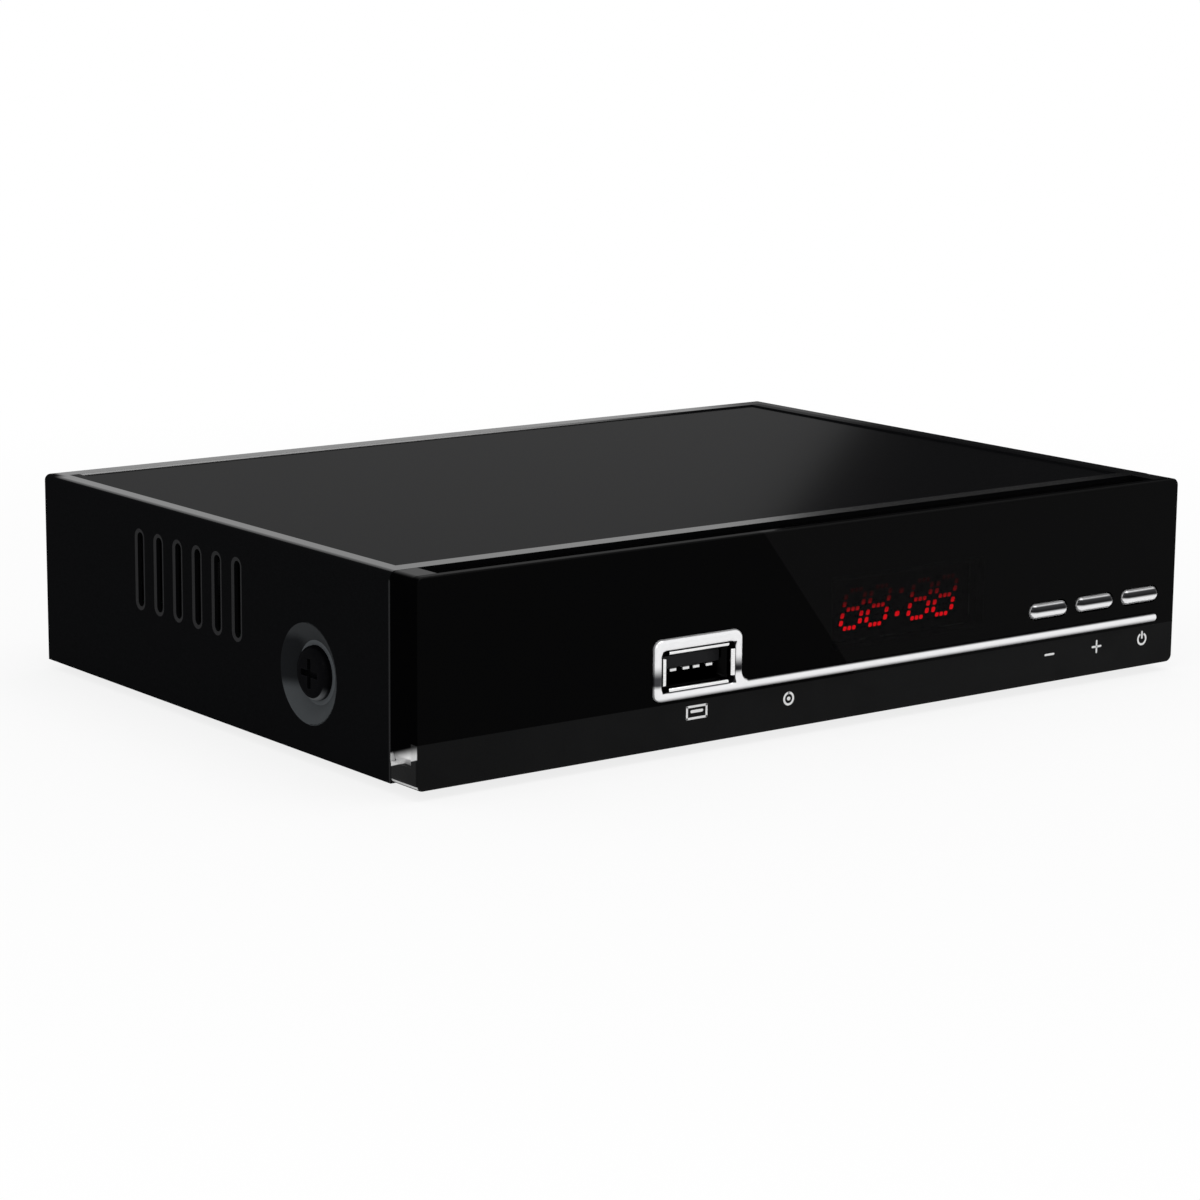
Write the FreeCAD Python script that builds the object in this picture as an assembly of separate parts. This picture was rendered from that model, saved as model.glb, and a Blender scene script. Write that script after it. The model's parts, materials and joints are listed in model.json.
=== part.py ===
import FreeCAD, Part
import math
import os

# A small satellite television receiver: a folded steel case with a moulded glossy front, a USB socket,
# a four-digit display and three chromed keys, and the boards and sockets inside it.
# Millimetres. +X is to the right seen from the front, the front faces -Y and +Z is up. The origin is
# the middle of the footprint, on the surface that the rubber feet stand on.

Vec = FreeCAD.Vector

# ---- Case --------------------------------------------------------------------------------------------
CASE_W = 155.0          # width over the steel cover and over the front
CASE_D = 110.0          # front face to the rear edge of the cover
CASE_H = 31.5           # floor sheet to the top rim, without the feet
SHEET = 0.8             # steel sheet
BEND_R = 1.0            # outer radius of the folds along the top
RIM_SIDE = 4.8          # rim beside the sunk field of the top
RIM_END = 3.1           # rim in front of and behind the sunk field
FIELD_DROP = 0.25       # how far the field is sunk
FIT_GAP = 0.1           # gap between parts that slide into each other
REAR_LIP = 6.0          # height of the cover's lip over the rear wall
FLANGE_H = 4.0          # height of the low side flanges of the tray
FRONT_LIP_H = 7.0       # height of the tray's lip behind the front
FOOT_R = 6.0            # rubber foot
FOOT_H = 1.5            # its height
FOOT_INSET = 18.0       # foot centre to the side, the front and the rear of the case

# ---- Side slots and side screws ----------------------------------------------------------------------
SLOT_COUNT = 6
SLOT_PITCH = 5.92
SLOT_W = 1.8
SLOT_H = 12.1
SLOT_BEVEL = 0.6        # width of the shallow bevel round each slot
SLOT_BEVEL_D = 0.15     # its depth
SLOT_START = 49.1       # front face to the first slot
SLOT_Z = 20.3           # middle of the slots over the floor sheet
DIMPLE_R = 7.75         # mouth of the conical dimple round the side screw
DIMPLE_FLOOR_R = 4.95   # its flat floor
DIMPLE_D = 1.6          # its depth
DIMPLE_EDGE_R = 0.5     # rounding of its mouth
SIDE_SCREW_Y = 28.8     # front face to the side screw
SIDE_SCREW_Z = 12.3     # side screw over the floor sheet
SIDE_TAB_W = 18.0       # tab of the tray behind the dimple
SIDE_TAB_RISE = 7.0     # how far the tab rises over the screw
M4_R = 1.95
M4_HEAD_R = 4.2
M4_HEAD_H = 1.5
M4_GRIP = 3.6           # length under the head
M3_R = 1.45
M3_HEAD_R = 2.75
M3_HEAD_H = 1.6
M3_GRIP = 5.0
HEAD_ROUND = 0.85       # share of a head's height that is rounded
SCREW_GAP = 0.05        # gap between a shank and its hole
REAR_SCREW_INSET = 15.5  # rear screw to the side of the case
REAR_SCREW_DROP = 3.0   # rear screw under the top rim

# ---- Front -------------------------------------------------------------------------------------------
PANEL_D = 6.6           # depth of the front moulding
LENS_T = 1.5            # glossy front plate, and the front wall of the chin
BODY_WALL = 1.5         # wall of the moulding behind the plate
CHIN_H = 6.95           # height of the matt chin on the front face
CHIN_SIDE_H = 3.4       # height of the chin where it turns round the sides
CHIN_T = 1.2            # wall of the chin at its sides and bottom
ROLL_IN = 0.9           # how far the side of the moulding rolls in above the chin
CORNER_R = 1.2          # corners of the front outline
EDGE_R = 0.3            # rounding of the front edges
GROOVE_END = 4.6        # solid ends beside the groove on top of the moulding
GROOVE_DROP = 0.7       # depth of that groove
SEAM = 0.15             # open seam between the moulding and the steel cover
PANEL_SCREW_INSET = 17.5
PANEL_SCREW_Z = 4.4
PANEL_SCREW_HOLD = 2.5  # length of the panel screws inside the moulding

# ---- USB socket and chrome trim, from the right edge and the floor sheet -----------------------------
USB_FROM_RIGHT = 103.5
USB_Z = 12.1
USB_IN_W = 12.5         # opening of a type A socket
USB_IN_H = 5.12
USB_WALL = 0.3
USB_DEPTH = 14.0
USB_SET_BACK = 0.2      # mouth behind the front face
LIP_L = 1.2             # lips at the mouth, along the socket
LIP_SIDE = 0.75         # how far the side lips are folded out
LIP_TOP = 0.55          # how far the upper and lower lips are folded out
LIP_CURL = 0.3          # slanted inner edge of a lip
LIP_NOTCH = 0.9         # corner left open between two lips
TONGUE_W = 11.1
TONGUE_T = 1.84
TONGUE_LIFT = 0.05      # underside of the tongue over the middle of the socket
TONGUE_SET_BACK = 1.5
USB_CONTACT_XS = (-3.5, -1.0, 1.0, 3.5)
USB_CONTACT_W = 1.2
USB_CONTACT_T = 0.2
USB_TIP_H = 0.35        # how far the contacts' tips hang under them
BEZEL_IN_W = 14.2
BEZEL_IN_H = 6.4
BEZEL_SIDE = 1.45       # width of the bezel beside its opening
BEZEL_TOP = 1.85        # width of the bezel above its opening
BEZEL_R = 1.5
BEZEL_IN_R = 0.9
TRIM_OVER_CHIN = 0.45   # trim over the seam between plate and chin
STRIP_H = 1.6
STRIP_END_INSET = 4.4   # right end of the strip to the right edge
STRIP_BLEND_R = 1.5     # hollow corner where the strip meets the bezel
TRIM_PROUD = 0.7
TRIM_SEAT = 0.9         # how deep the trim sits in the plate
TRIM_EDGE_R = 0.65
TRIM_GAP = 0.05

# ---- Keys --------------------------------------------------------------------------------------------
KEY_NAMES = ("channel_down", "channel_up", "power")
KEY_RIGHT_INSET = 8.4   # middle of the power key to the right edge
KEY_PITCH = 10.6
KEY_Z = 12.3
KEY_W = 8.4
KEY_H = 2.55
KEY_PROUD = 0.8
KEY_DOME_R = 1.2        # rounding of the key's front
KEY_GAP = 0.2           # gap round the key
KEY_FLANGE = 0.9        # flange round the key behind the wall
KEY_FLANGE_T = 0.8
KEY_STEM = 0.8          # stem between flange and switch
KEY_STEM_R = 1.3
SWITCH_W = 6.0
SWITCH_D = 3.5
PLUNGER_R = 1.75
PLUNGER_L = 0.8
PLUNGER_SUNK = 0.6      # part of the plunger inside the switch
PLUNGER_ROOM = 0.6      # room behind the plunger for its travel
PLUNGER_GAP = 0.1

# ---- Display, remote control eye and front board -----------------------------------------------------
DISPLAY_FROM_RIGHT = 59.9
DISPLAY_Z = 16.65
DISPLAY_W = 30.1
DISPLAY_H = 10.0
DISPLAY_D = 6.1
WINDOW_GAP = 0.3
DIGIT_H = 6.65
DIGIT_W = 4.6
DIGIT_PITCH = 5.35
COLON_ROOM = 3.6        # extra room for the colon in the middle
DIGIT_SLANT = 13.0      # degrees
SEGMENT_W = 0.8
SEGMENT_T = 0.2
SEGMENT_GAP = 0.15
COLON_RISE = 1.85       # colon dots over and under the middle
EYE_TO_DISPLAY = 25.3   # remote control eye to the middle of the display
EYE_Z = 15.0
EYE_W = 5.2
EYE_H = 6.5
EYE_T = 2.4
EYE_DOME_R = 2.0
EYE_HOLE_R = 2.6
PCB_T = 1.6
FRONT_PCB_LEFT = 5.5    # eye to the left end of the front board
FRONT_PCB_INSET = 4.5   # right end of the front board to the right edge
FRONT_PCB_Z = 8.4
FRONT_PCB_H = 19.6
BOSS_R = 2.4
FRONT_SCREW_Z = 25.2
FRONT_SCREW_END = 3.6   # end screws to the ends of the front board
FRONT_SCREW_MID = 20.5  # middle screw to the middle of the display
M2_R = 1.1
M2_HEAD_R = 2.2
M2_HEAD_H = 1.4
FRONT_SCREW_HOLD = 3.0  # length of the board screws inside the moulding
SCREW_ROOM = 0.3        # blind hole beyond a screw's tip

# ---- Main board --------------------------------------------------------------------------------------
PCB_INSET = 6.0         # sides of the main board to the sides of the case
PCB_FRONT_GAP = 0.5
PCB_STEP_GAP = 1.5      # front board to the stepped edge of the main board
PCB_REAR_GAP = 0.5
STANDOFF_R = 3.0
STANDOFF_EDGE = 5.0     # standoffs to the edges of the board
CHIP_X = -8.0           # processor from the middle of the case
CHIP_W = 21.0
CHIP_T = 2.0
PAD_T = 0.5
SINK_W = 28.0
SINK_BASE = 2.0
SINK_H = 10.0
FIN_COUNT = 9
FIN_T = 1.2
MEMORY_W = 10.0
MEMORY_L = 13.0
MEMORY_T = 1.2
MEMORY_X = 22.0         # memory chips from the processor
MEMORY_Y = 8.5
FLASH_X = -24.0
FLASH_W = 6.0
FLASH_T = 1.5
CRYSTAL_L = 11.0
CRYSTAL_W = 4.6
CRYSTAL_H = 3.5
CRYSTAL_X = -22.0
CRYSTAL_Y = 14.0
CAN_R = 4.0             # large capacitors
CAN_H = 12.0
CAN_PITCH = 10.5
CAN_COUNT = 4
CAN_INSET = 9.5         # row of large capacitors to the side of the board
CAN_REAR = 22.0         # first of them to the rear of the board
SMALL_CAN_R = 2.5
SMALL_CAN_H = 8.0
SMALL_CAN_PITCH = 8.0
COIL_W = 8.0
COIL_H = 4.0
COIL_R = 1.6
COIL_X = -37.0          # coils from the processor
COIL_PITCH = 14.0
REGULATOR_W = 6.5
REGULATOR_T = 1.6
TINY_L = 1.6            # smallest parts
TINY_W = 0.9
TINY_H = 0.8
TINY_PITCH = 2.6
TINY_COUNT = 10
PLUG_W = 16.0           # ribbon sockets
PLUG_T = 4.0
PLUG_H = 5.0
RIBBON_W = 12.0
RIBBON_T = 0.5
RIBBON_Z = 20.0
RIBBON_R = 4.0
RIBBON_RUN = 1.0

# ---- Rear sockets ------------------------------------------------------------------------------------
TUNER_W = 38.0
TUNER_L = 26.0
TUNER_H = 16.0
TUNER_WALL = 0.5
TUNER_LID_T = 0.4
TUNER_LID_SKIRT = 4.0
AERIAL_R = 4.7625       # 3/8 inch thread of the aerial socket
AERIAL_REACH = 11.0     # beyond the rear edge of the cover
AERIAL_BORE_R = 3.2
AERIAL_BORE_L = 7.0
AERIAL_CHAMFER = 0.5
AERIAL_GROOVE_R = 4.2   # run-out groove of the thread beyond the nut
AERIAL_GROOVE_L = 0.6
AERIAL_PLUG_BACK = 1.0  # insulator behind the tip
AERIAL_PLUG_L = 3.0
AERIAL_CONTACT_R = 1.1
AERIAL_PIN_HOLE_R = 0.6
WASHER_R = 7.0
WASHER_T = 0.6
NUT_ACROSS = 12.7
NUT_T = 2.4
WALL_HOLE_GAP = 0.15
AV_GAP = 2.0            # tuner to the AV block
AV_PITCH = 14.0
AV_H = 13.0
AV_L = 12.0
AV_RING_R = 4.15
AV_NECK_R = 3.95        # ring inside its collar and the block
AV_BORE_R = 3.55        # inside of the ring
AV_REACH = 8.0
AV_CORE_BACK = 0.5
AV_HOLE_R = 1.65
AV_COLLAR_R = 5.5
AV_COLLAR_T = 1.0
AV_TIP_CHAMFER = 0.3
AV_SUNK = 3.0           # rings and cores inside the block
HDMI_GAP = 4.0          # AV block to the HDMI socket
HDMI_W = 14.8
HDMI_H = 5.4
HDMI_FOOT_W = 11.0
HDMI_SHOULDER = 2.2     # height of the slanted corners
HDMI_WALL = 0.4
HDMI_L = 11.0
HDMI_PROUD = 0.4
HDMI_TONGUE_W = 11.8
HDMI_TONGUE_T = 1.2
HDMI_TONGUE_BACK = 1.0
HDMI_PIN_W = 0.45
HDMI_PIN_T = 0.1
HDMI_PIN_PITCH = 1.0
HDMI_PIN_L = 6.0
JACK_INSET = 15.0       # power jack to the left side of the board
JACK_W = 9.0
JACK_H = 11.0
JACK_L = 14.0
JACK_BORE_R = 3.2
JACK_BORE_L = 9.5
JACK_PIN_R = 1.05
JACK_PIN_BACK = 0.8
JACK_BORE_RISE = 6.2
JACK_PROUD = 0.4

# ---- Places worked out from the sizes above ----------------------------------------------------------
HALF_W = CASE_W / 2
FLOOR_Z = FOOT_H
FLOOR_TOP = FLOOR_Z + SHEET
TOP_Z = FLOOR_Z + CASE_H
FRONT_Y = KEY_PROUD - (KEY_PROUD + CASE_D + AERIAL_REACH) / 2
REAR_Y = FRONT_Y + CASE_D
WALL_OUT = REAR_Y - SHEET
WALL_IN = WALL_OUT - SHEET
PANEL_BACK = FRONT_Y + PANEL_D
SKIN_Y = FRONT_Y + LENS_T
INNER_Y = SKIN_Y + BODY_WALL
CHIN_TOP = FLOOR_Z + CHIN_H
TRAY_HALF_W = HALF_W - SHEET - FIT_GAP
TAB_X = HALF_W - DIMPLE_D - SHEET
SIDE_SCREW = (FRONT_Y + SIDE_SCREW_Y, FLOOR_Z + SIDE_SCREW_Z)
REAR_SCREW_XS = (-HALF_W + REAR_SCREW_INSET, HALF_W - REAR_SCREW_INSET)
PANEL_SCREW_XS = (-HALF_W + PANEL_SCREW_INSET, HALF_W - PANEL_SCREW_INSET)
USB_X = HALF_W - USB_FROM_RIGHT
USB_MID = FLOOR_Z + USB_Z
USB_OUT_W = USB_IN_W + 2 * USB_WALL
USB_OUT_H = USB_IN_H + 2 * USB_WALL
USB_MOUTH = FRONT_Y + USB_SET_BACK
KEY_XS = [HALF_W - KEY_RIGHT_INSET - KEY_PITCH * step for step in (2, 1, 0)]
KEY_MID = FLOOR_Z + KEY_Z
FLANGE_BACK = INNER_Y + KEY_FLANGE_T
SWITCH_FRONT = FLANGE_BACK + KEY_STEM + PLUNGER_L
FRONT_PCB_Y = SWITCH_FRONT + SWITCH_D
FRONT_PCB_BACK = FRONT_PCB_Y + PCB_T
DISPLAY_X = HALF_W - DISPLAY_FROM_RIGHT
DISPLAY_MID = FLOOR_Z + DISPLAY_Z
DISPLAY_FACE = FRONT_PCB_Y - DISPLAY_D
EYE_X = DISPLAY_X - EYE_TO_DISPLAY
EYE_MID = FLOOR_Z + EYE_Z
FRONT_PCB_X0 = EYE_X - FRONT_PCB_LEFT
FRONT_PCB_X1 = HALF_W - FRONT_PCB_INSET
FRONT_SCREW_XS = (
    FRONT_PCB_X0 + FRONT_SCREW_END,
    DISPLAY_X + FRONT_SCREW_MID,
    FRONT_PCB_X1 - FRONT_SCREW_END,
)
PCB_TOP = USB_MID - USB_OUT_H / 2
PCB_BOTTOM = PCB_TOP - PCB_T
PCB_X = HALF_W - PCB_INSET
PCB_FRONT = PANEL_BACK + SHEET + PCB_FRONT_GAP
PCB_STEP_Y = FRONT_PCB_BACK + PCB_STEP_GAP
PCB_STEP_X = (USB_X + USB_OUT_W / 2 + FRONT_PCB_X0) / 2
PCB_REAR = WALL_IN - PCB_REAR_GAP
PCB_MID_Y = (PCB_STEP_Y + PCB_REAR) / 2
TUNER_X = PCB_X - TUNER_W / 2
AERIAL_Z = PCB_TOP + TUNER_H / 2
AV_X = TUNER_X - TUNER_W / 2 - AV_GAP - 1.5 * AV_PITCH
AV_Z = PCB_TOP + AV_H / 2
HDMI_X = AV_X - 1.5 * AV_PITCH - HDMI_GAP - HDMI_W / 2
HDMI_Z = PCB_TOP + HDMI_H / 2
JACK_X = -PCB_X + JACK_INSET
JACK_Z = PCB_TOP + JACK_BORE_RISE
PCB_SCREWS = (
    (-PCB_X + STANDOFF_EDGE, PCB_FRONT + STANDOFF_EDGE),
    (PCB_X - STANDOFF_EDGE, PCB_STEP_Y + STANDOFF_EDGE),
    (-PCB_X + STANDOFF_EDGE, PCB_REAR - STANDOFF_EDGE),
    (PCB_X - STANDOFF_EDGE, PCB_REAR - TUNER_L - STANDOFF_EDGE),
)

# Four ways for a piece drawn flat, with its face towards local +Z, to be turned in the case.
FACE_UP = FreeCAD.Rotation()
FACE_FRONT = FreeCAD.Rotation(Vec(1, 0, 0), 90)
FACE_REAR = FreeCAD.Rotation(Vec(-1, 0, 0), Vec(0, 0, 1), Vec(0, 1, 0), "ZXY")
FACE_RIGHT = FreeCAD.Rotation(Vec(0, 1, 0), Vec(0, 0, 1), Vec(1, 0, 0), "ZXY")
FACE_LEFT = FreeCAD.Rotation(Vec(0, -1, 0), Vec(0, 0, 1), Vec(-1, 0, 0), "ZXY")


# ---- Drawing helpers ---------------------------------------------------------------------------------
def block(x0, x1, y0, y1, z0, z1):
    """A box between two corners."""
    return Part.makeBox(x1 - x0, y1 - y0, z1 - z0, Vec(x0, y0, z0))


def outline(corners, level=0.0):
    """A closed flat wire through corners given as (x, y, radius), drawn anticlockwise."""
    bends = []
    for index, (x, y, radius) in enumerate(corners):
        before = corners[index - 1]
        after = corners[(index + 1) % len(corners)]
        here = Vec(x, y, level)
        back = Vec(before[0] - x, before[1] - y, 0).normalize()
        ahead = Vec(after[0] - x, after[1] - y, 0).normalize()
        if radius <= 0:
            bends.append((here, None, here))
            continue
        half = back.getAngle(ahead) / 2
        reach = radius / math.tan(half)
        inward = (back + ahead).normalize()
        middle = here + inward * (radius / math.sin(half) - radius)
        bends.append((here + back * reach, middle, here + ahead * reach))
    edges = []
    for index, (start, middle, end) in enumerate(bends):
        following = bends[(index + 1) % len(bends)][0]
        if middle is not None:
            edges.append(Part.Arc(start, middle, end).toShape())
        if end.distanceToPoint(following) > 1e-6:
            edges.append(Part.makeLine(end, following))
    return Part.Wire(edges)


def plate(corners, depth, level=0.0):
    """A flat plate with the outline given by its corners, rising by depth from a level."""
    return Part.Face(outline(corners, level)).extrude(Vec(0, 0, depth))


def rectangle(width, height, radius=0.0):
    """Corners of a rectangle about the origin."""
    w = width / 2
    h = height / 2
    return [(-w, -h, radius), (w, -h, radius), (w, h, radius), (-w, h, radius)]


def disc(radius, depth, level=0.0):
    """A round plate."""
    return Part.makeCylinder(radius, depth, Vec(0, 0, level))


def ring(outer, inner, depth, level=0.0):
    """A round plate with a round hole."""
    return disc(outer, depth, level).cut(disc(inner, depth, level))


def tapered(lower, upper, depth, level=0.0):
    """A plate whose outline changes evenly from its lower to its upper corners."""
    return Part.makeLoft([outline(lower, level), outline(upper, level + depth)], True, True)


def put(shape, rotation, x, y, z):
    """Turn a piece and set its own origin at a place in the case."""
    placed = shape.copy()
    placed.Placement = FreeCAD.Placement(Vec(x, y, z), rotation).multiply(shape.Placement)
    return placed


def fuse(shapes):
    """Join solids into one."""
    return shapes[0].multiFuse(shapes[1:]).removeSplitter()


def rounded(shape, radius, chosen):
    """Round those edges of a shape that a test picks out."""
    return shape.makeFillet(radius, [edge for edge in shape.Edges if chosen(edge)])


def save(name, shapes):
    """Write one sub-part, which may be a group of separate solids."""
    shape = Part.makeCompound(shapes) if isinstance(shapes, list) else shapes
    shape.exportStep(os.path.join("parts", name + ".step"))


def flat_at(edge, level):
    """Whether an edge lies in the plane of one local height."""
    box = edge.BoundBox
    return abs(box.ZMin - level) < 1e-4 and abs(box.ZMax - level) < 1e-4


# ---- Screws ------------------------------------------------------------------------------------------
def screw(radius, grip, head_radius, head_height):
    """A cross-recessed screw: head above local zero, shank below it."""
    head = disc(head_radius, head_height)
    head = rounded(head, head_height * HEAD_ROUND, lambda edge: flat_at(edge, head_height))
    cross_w = head_radius * 0.24
    cross_l = head_radius * 1.1
    cross_d = head_height * 0.6
    arms = [plate(rectangle(cross_l, cross_w), cross_d, head_height - cross_d)]
    arms.append(plate(rectangle(cross_w, cross_l), cross_d, head_height - cross_d))
    return fuse([head, disc(radius, grip, -grip)]).cut(fuse(arms))


# ---- Case --------------------------------------------------------------------------------------------
def make_feet():
    """Four rubber feet under the floor sheet."""
    foot = rounded(disc(FOOT_R, FOOT_H), FOOT_H * 0.25, lambda edge: flat_at(edge, 0))
    feet = []
    for x in (-HALF_W + FOOT_INSET, HALF_W - FOOT_INSET):
        for y in (FRONT_Y + FOOT_INSET, REAR_Y - FOOT_INSET):
            feet.append(put(foot, FACE_UP, x, y, 0))
    save("rubber_feet", feet)


def sheet_hole(shape, radius, rotation, x, y, z):
    """Cut a round hole through one sheet at a place on its outer face."""
    return shape.cut(put(disc(radius, 3 * SHEET, -2 * SHEET), rotation, x, y, z))


def make_base_tray():
    """The folded tray: floor, front lip, low side flanges, screw tabs and the rear wall."""
    tab_y, tab_z = SIDE_SCREW
    tray = [
        block(-TRAY_HALF_W, TRAY_HALF_W, PANEL_BACK, WALL_OUT, FLOOR_Z, FLOOR_TOP),
        block(-TRAY_HALF_W, TRAY_HALF_W, PANEL_BACK, PANEL_BACK + SHEET, FLOOR_Z, FLOOR_Z + FRONT_LIP_H),
        block(-TRAY_HALF_W, TRAY_HALF_W, WALL_IN, WALL_OUT, FLOOR_Z, TOP_Z - SHEET - FIT_GAP),
    ]
    for side in (-1, 1):
        for outer, y0, y1, top in (
            (TRAY_HALF_W, PANEL_BACK, WALL_OUT, FLOOR_Z + FLANGE_H),
            (TAB_X, tab_y - SIDE_TAB_W / 2, tab_y + SIDE_TAB_W / 2, tab_z + SIDE_TAB_RISE),
        ):
            edges = sorted((side * outer, side * (outer - SHEET)))
            tray.append(block(edges[0], edges[1], y0, y1, FLOOR_Z, top))
    tray = fuse(tray)
    for rotation, side in ((FACE_LEFT, -1), (FACE_RIGHT, 1)):
        tray = sheet_hole(tray, M4_R + SCREW_GAP, rotation, side * TAB_X, tab_y, tab_z)
    for x in REAR_SCREW_XS:
        tray = sheet_hole(tray, M3_R + SCREW_GAP, FACE_REAR, x, WALL_OUT, TOP_Z - REAR_SCREW_DROP)
    for x in PANEL_SCREW_XS:
        tray = sheet_hole(tray, M2_R + SCREW_GAP, FACE_FRONT, x, PANEL_BACK, FLOOR_Z + PANEL_SCREW_Z)
    tray = sheet_hole(tray, AERIAL_R + WALL_HOLE_GAP, FACE_REAR, TUNER_X, WALL_OUT, AERIAL_Z)
    for step in (-1, 0, 1):
        x = AV_X + step * AV_PITCH
        tray = sheet_hole(tray, AV_NECK_R + WALL_HOLE_GAP, FACE_REAR, x, WALL_OUT, AV_Z)
    hdmi_hole = plate(hdmi_corners(WALL_HOLE_GAP), 3 * SHEET, -2 * SHEET)
    tray = tray.cut(put(hdmi_hole, FACE_REAR, HDMI_X, WALL_OUT, HDMI_Z))
    jack_corners = rectangle(JACK_W + 2 * WALL_HOLE_GAP, JACK_H + 2 * WALL_HOLE_GAP)
    jack_hole = plate(jack_corners, 3 * SHEET, -2 * SHEET)
    tray = tray.cut(put(jack_hole, FACE_REAR, JACK_X, WALL_OUT, PCB_TOP + JACK_H / 2))
    save("base_tray", tray.cut(floor_vents()))


def floor_vents():
    """Two rows of cooling slots in the floor, under the processor."""
    slot = plate(rectangle(SLOT_W, SLOT_H, SLOT_W / 2), 3 * SHEET, -SHEET)
    slots = []
    for row in (-1, 1):
        for step in range(-SLOT_COUNT // 2, SLOT_COUNT // 2 + 1):
            x = CHIP_X + step * SLOT_PITCH
            slots.append(put(slot, FACE_UP, x, PCB_MID_Y + row * SLOT_H * 0.75, FLOOR_Z))
    return Part.makeCompound(slots)


def make_top_cover():
    """The folded cover: top with a raised rim, two sides with slots and dimples, and a rear lip."""
    front = PANEL_BACK + SEAM
    outer = block(-HALF_W, HALF_W, front, REAR_Y, FLOOR_Z, TOP_Z)
    outer = rounded(outer, BEND_R, is_top_fold)
    inside = block(-HALF_W + SHEET, HALF_W - SHEET, front, WALL_OUT, FLOOR_Z, TOP_Z - SHEET)
    below_lip = block(-HALF_W + SHEET, HALF_W - SHEET, WALL_OUT, REAR_Y, FLOOR_Z, TOP_Z - REAR_LIP)
    field_w = CASE_W - 2 * RIM_SIDE
    field_l = REAR_Y - front - 2 * RIM_END
    field_y = (REAR_Y + front) / 2
    pan = plate(rectangle(field_w, field_l), SHEET)
    pan = put(pan, FACE_UP, 0, field_y, TOP_Z - FIELD_DROP - SHEET)
    lower = rectangle(field_w - FIELD_DROP, field_l - FIELD_DROP)
    sunk = tapered(lower, rectangle(field_w, field_l), FIELD_DROP)
    cover = outer.cut(fuse([inside, below_lip])).fuse(pan)
    cover = cover.cut(put(sunk, FACE_UP, 0, field_y, TOP_Z - FIELD_DROP)).removeSplitter()
    screw_y, screw_z = SIDE_SCREW
    for rotation, side in ((FACE_LEFT, -1), (FACE_RIGHT, 1)):
        x = side * HALF_W
        cup = Part.makeCone(DIMPLE_FLOOR_R, DIMPLE_R, DIMPLE_D, Vec(0, 0, -DIMPLE_D))
        bulge = Part.makeCone(DIMPLE_FLOOR_R, DIMPLE_R, DIMPLE_D, Vec(0, 0, -DIMPLE_D - SHEET))
        cover = cover.fuse(put(bulge, rotation, x, screw_y, screw_z))
        cover = cover.cut(put(cup, rotation, x, screw_y, screw_z))
        hole = disc(M4_R + SCREW_GAP, 2 * SHEET, -DIMPLE_D - 1.5 * SHEET)
        cover = cover.cut(put(hole, rotation, x, screw_y, screw_z))
        cover = cover.cut(side_slots(rotation, x))
    cover = rounded(cover, DIMPLE_EDGE_R, is_dimple_mouth)
    for x in REAR_SCREW_XS:
        cover = sheet_hole(cover, M3_R + SCREW_GAP, FACE_REAR, x, REAR_Y, TOP_Z - REAR_SCREW_DROP)
    save("top_cover", cover)


def is_top_fold(edge):
    """Whether an edge runs from front to rear along the top."""
    box = edge.BoundBox
    return box.ZMin > TOP_Z - 1e-4 and box.XLength < 1e-4


def is_dimple_mouth(edge):
    """Whether an edge is the round mouth of a dimple in an outer side face."""
    box = edge.BoundBox
    on_side = box.XLength < 1e-4 and abs(abs(box.XMin) - HALF_W) < 1e-4
    return on_side and abs(box.ZLength - 2 * DIMPLE_R) < 1e-3


def side_slots(rotation, x):
    """The row of bevelled cooling slots in one side."""
    narrow = rectangle(SLOT_W, SLOT_H, SLOT_W / 2)
    wide_w = SLOT_W + 2 * SLOT_BEVEL
    wide = rectangle(wide_w, SLOT_H + 2 * SLOT_BEVEL, wide_w / 2)
    through = plate(narrow, 2 * SHEET, -1.5 * SHEET)
    tool = through.fuse(tapered(narrow, wide, SLOT_BEVEL_D, -SLOT_BEVEL_D))
    slots = []
    for step in range(SLOT_COUNT):
        y = FRONT_Y + SLOT_START + step * SLOT_PITCH
        slots.append(put(tool, rotation, x, y, FLOOR_Z + SLOT_Z))
    return Part.makeCompound(slots)


def make_case_screws():
    """Two large screws in the side dimples and two small ones at the rear."""
    side = screw(M4_R, M4_GRIP, M4_HEAD_R, M4_HEAD_H)
    y, z = SIDE_SCREW
    floor_x = HALF_W - DIMPLE_D
    save("side_screws", [put(side, FACE_LEFT, -floor_x, y, z), put(side, FACE_RIGHT, floor_x, y, z)])
    rear = screw(M3_R, M3_GRIP, M3_HEAD_R, M3_HEAD_H)
    save("rear_screws", [put(rear, FACE_REAR, x, REAR_Y, TOP_Z - REAR_SCREW_DROP) for x in REAR_SCREW_XS])


# ---- Front -------------------------------------------------------------------------------------------
def bezel_corners(gap=0.0):
    """Outline of the bezel round the USB socket and of the strip that runs on to the right."""
    left = USB_X - BEZEL_IN_W / 2 - BEZEL_SIDE - gap
    right = USB_X + BEZEL_IN_W / 2 + BEZEL_SIDE + gap
    bottom = CHIN_TOP + TRIM_OVER_CHIN - gap
    strip_top = CHIN_TOP + TRIM_OVER_CHIN + STRIP_H + gap
    top = USB_MID + BEZEL_IN_H / 2 + BEZEL_TOP + gap
    end = HALF_W - STRIP_END_INSET + gap
    end_r = STRIP_H / 2 + gap
    return [
        (left, bottom, BEZEL_R), (end, bottom, end_r), (end, strip_top, end_r),
        (right, strip_top, STRIP_BLEND_R), (right, top, BEZEL_R), (left, top, BEZEL_R),
    ]


def socket_hole(width, height, radius, y0, y1):
    """A rounded hole along the USB socket between two depths."""
    return put(plate(rectangle(width, height, radius), y1 - y0), FACE_FRONT, USB_X, y1, USB_MID)


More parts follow.
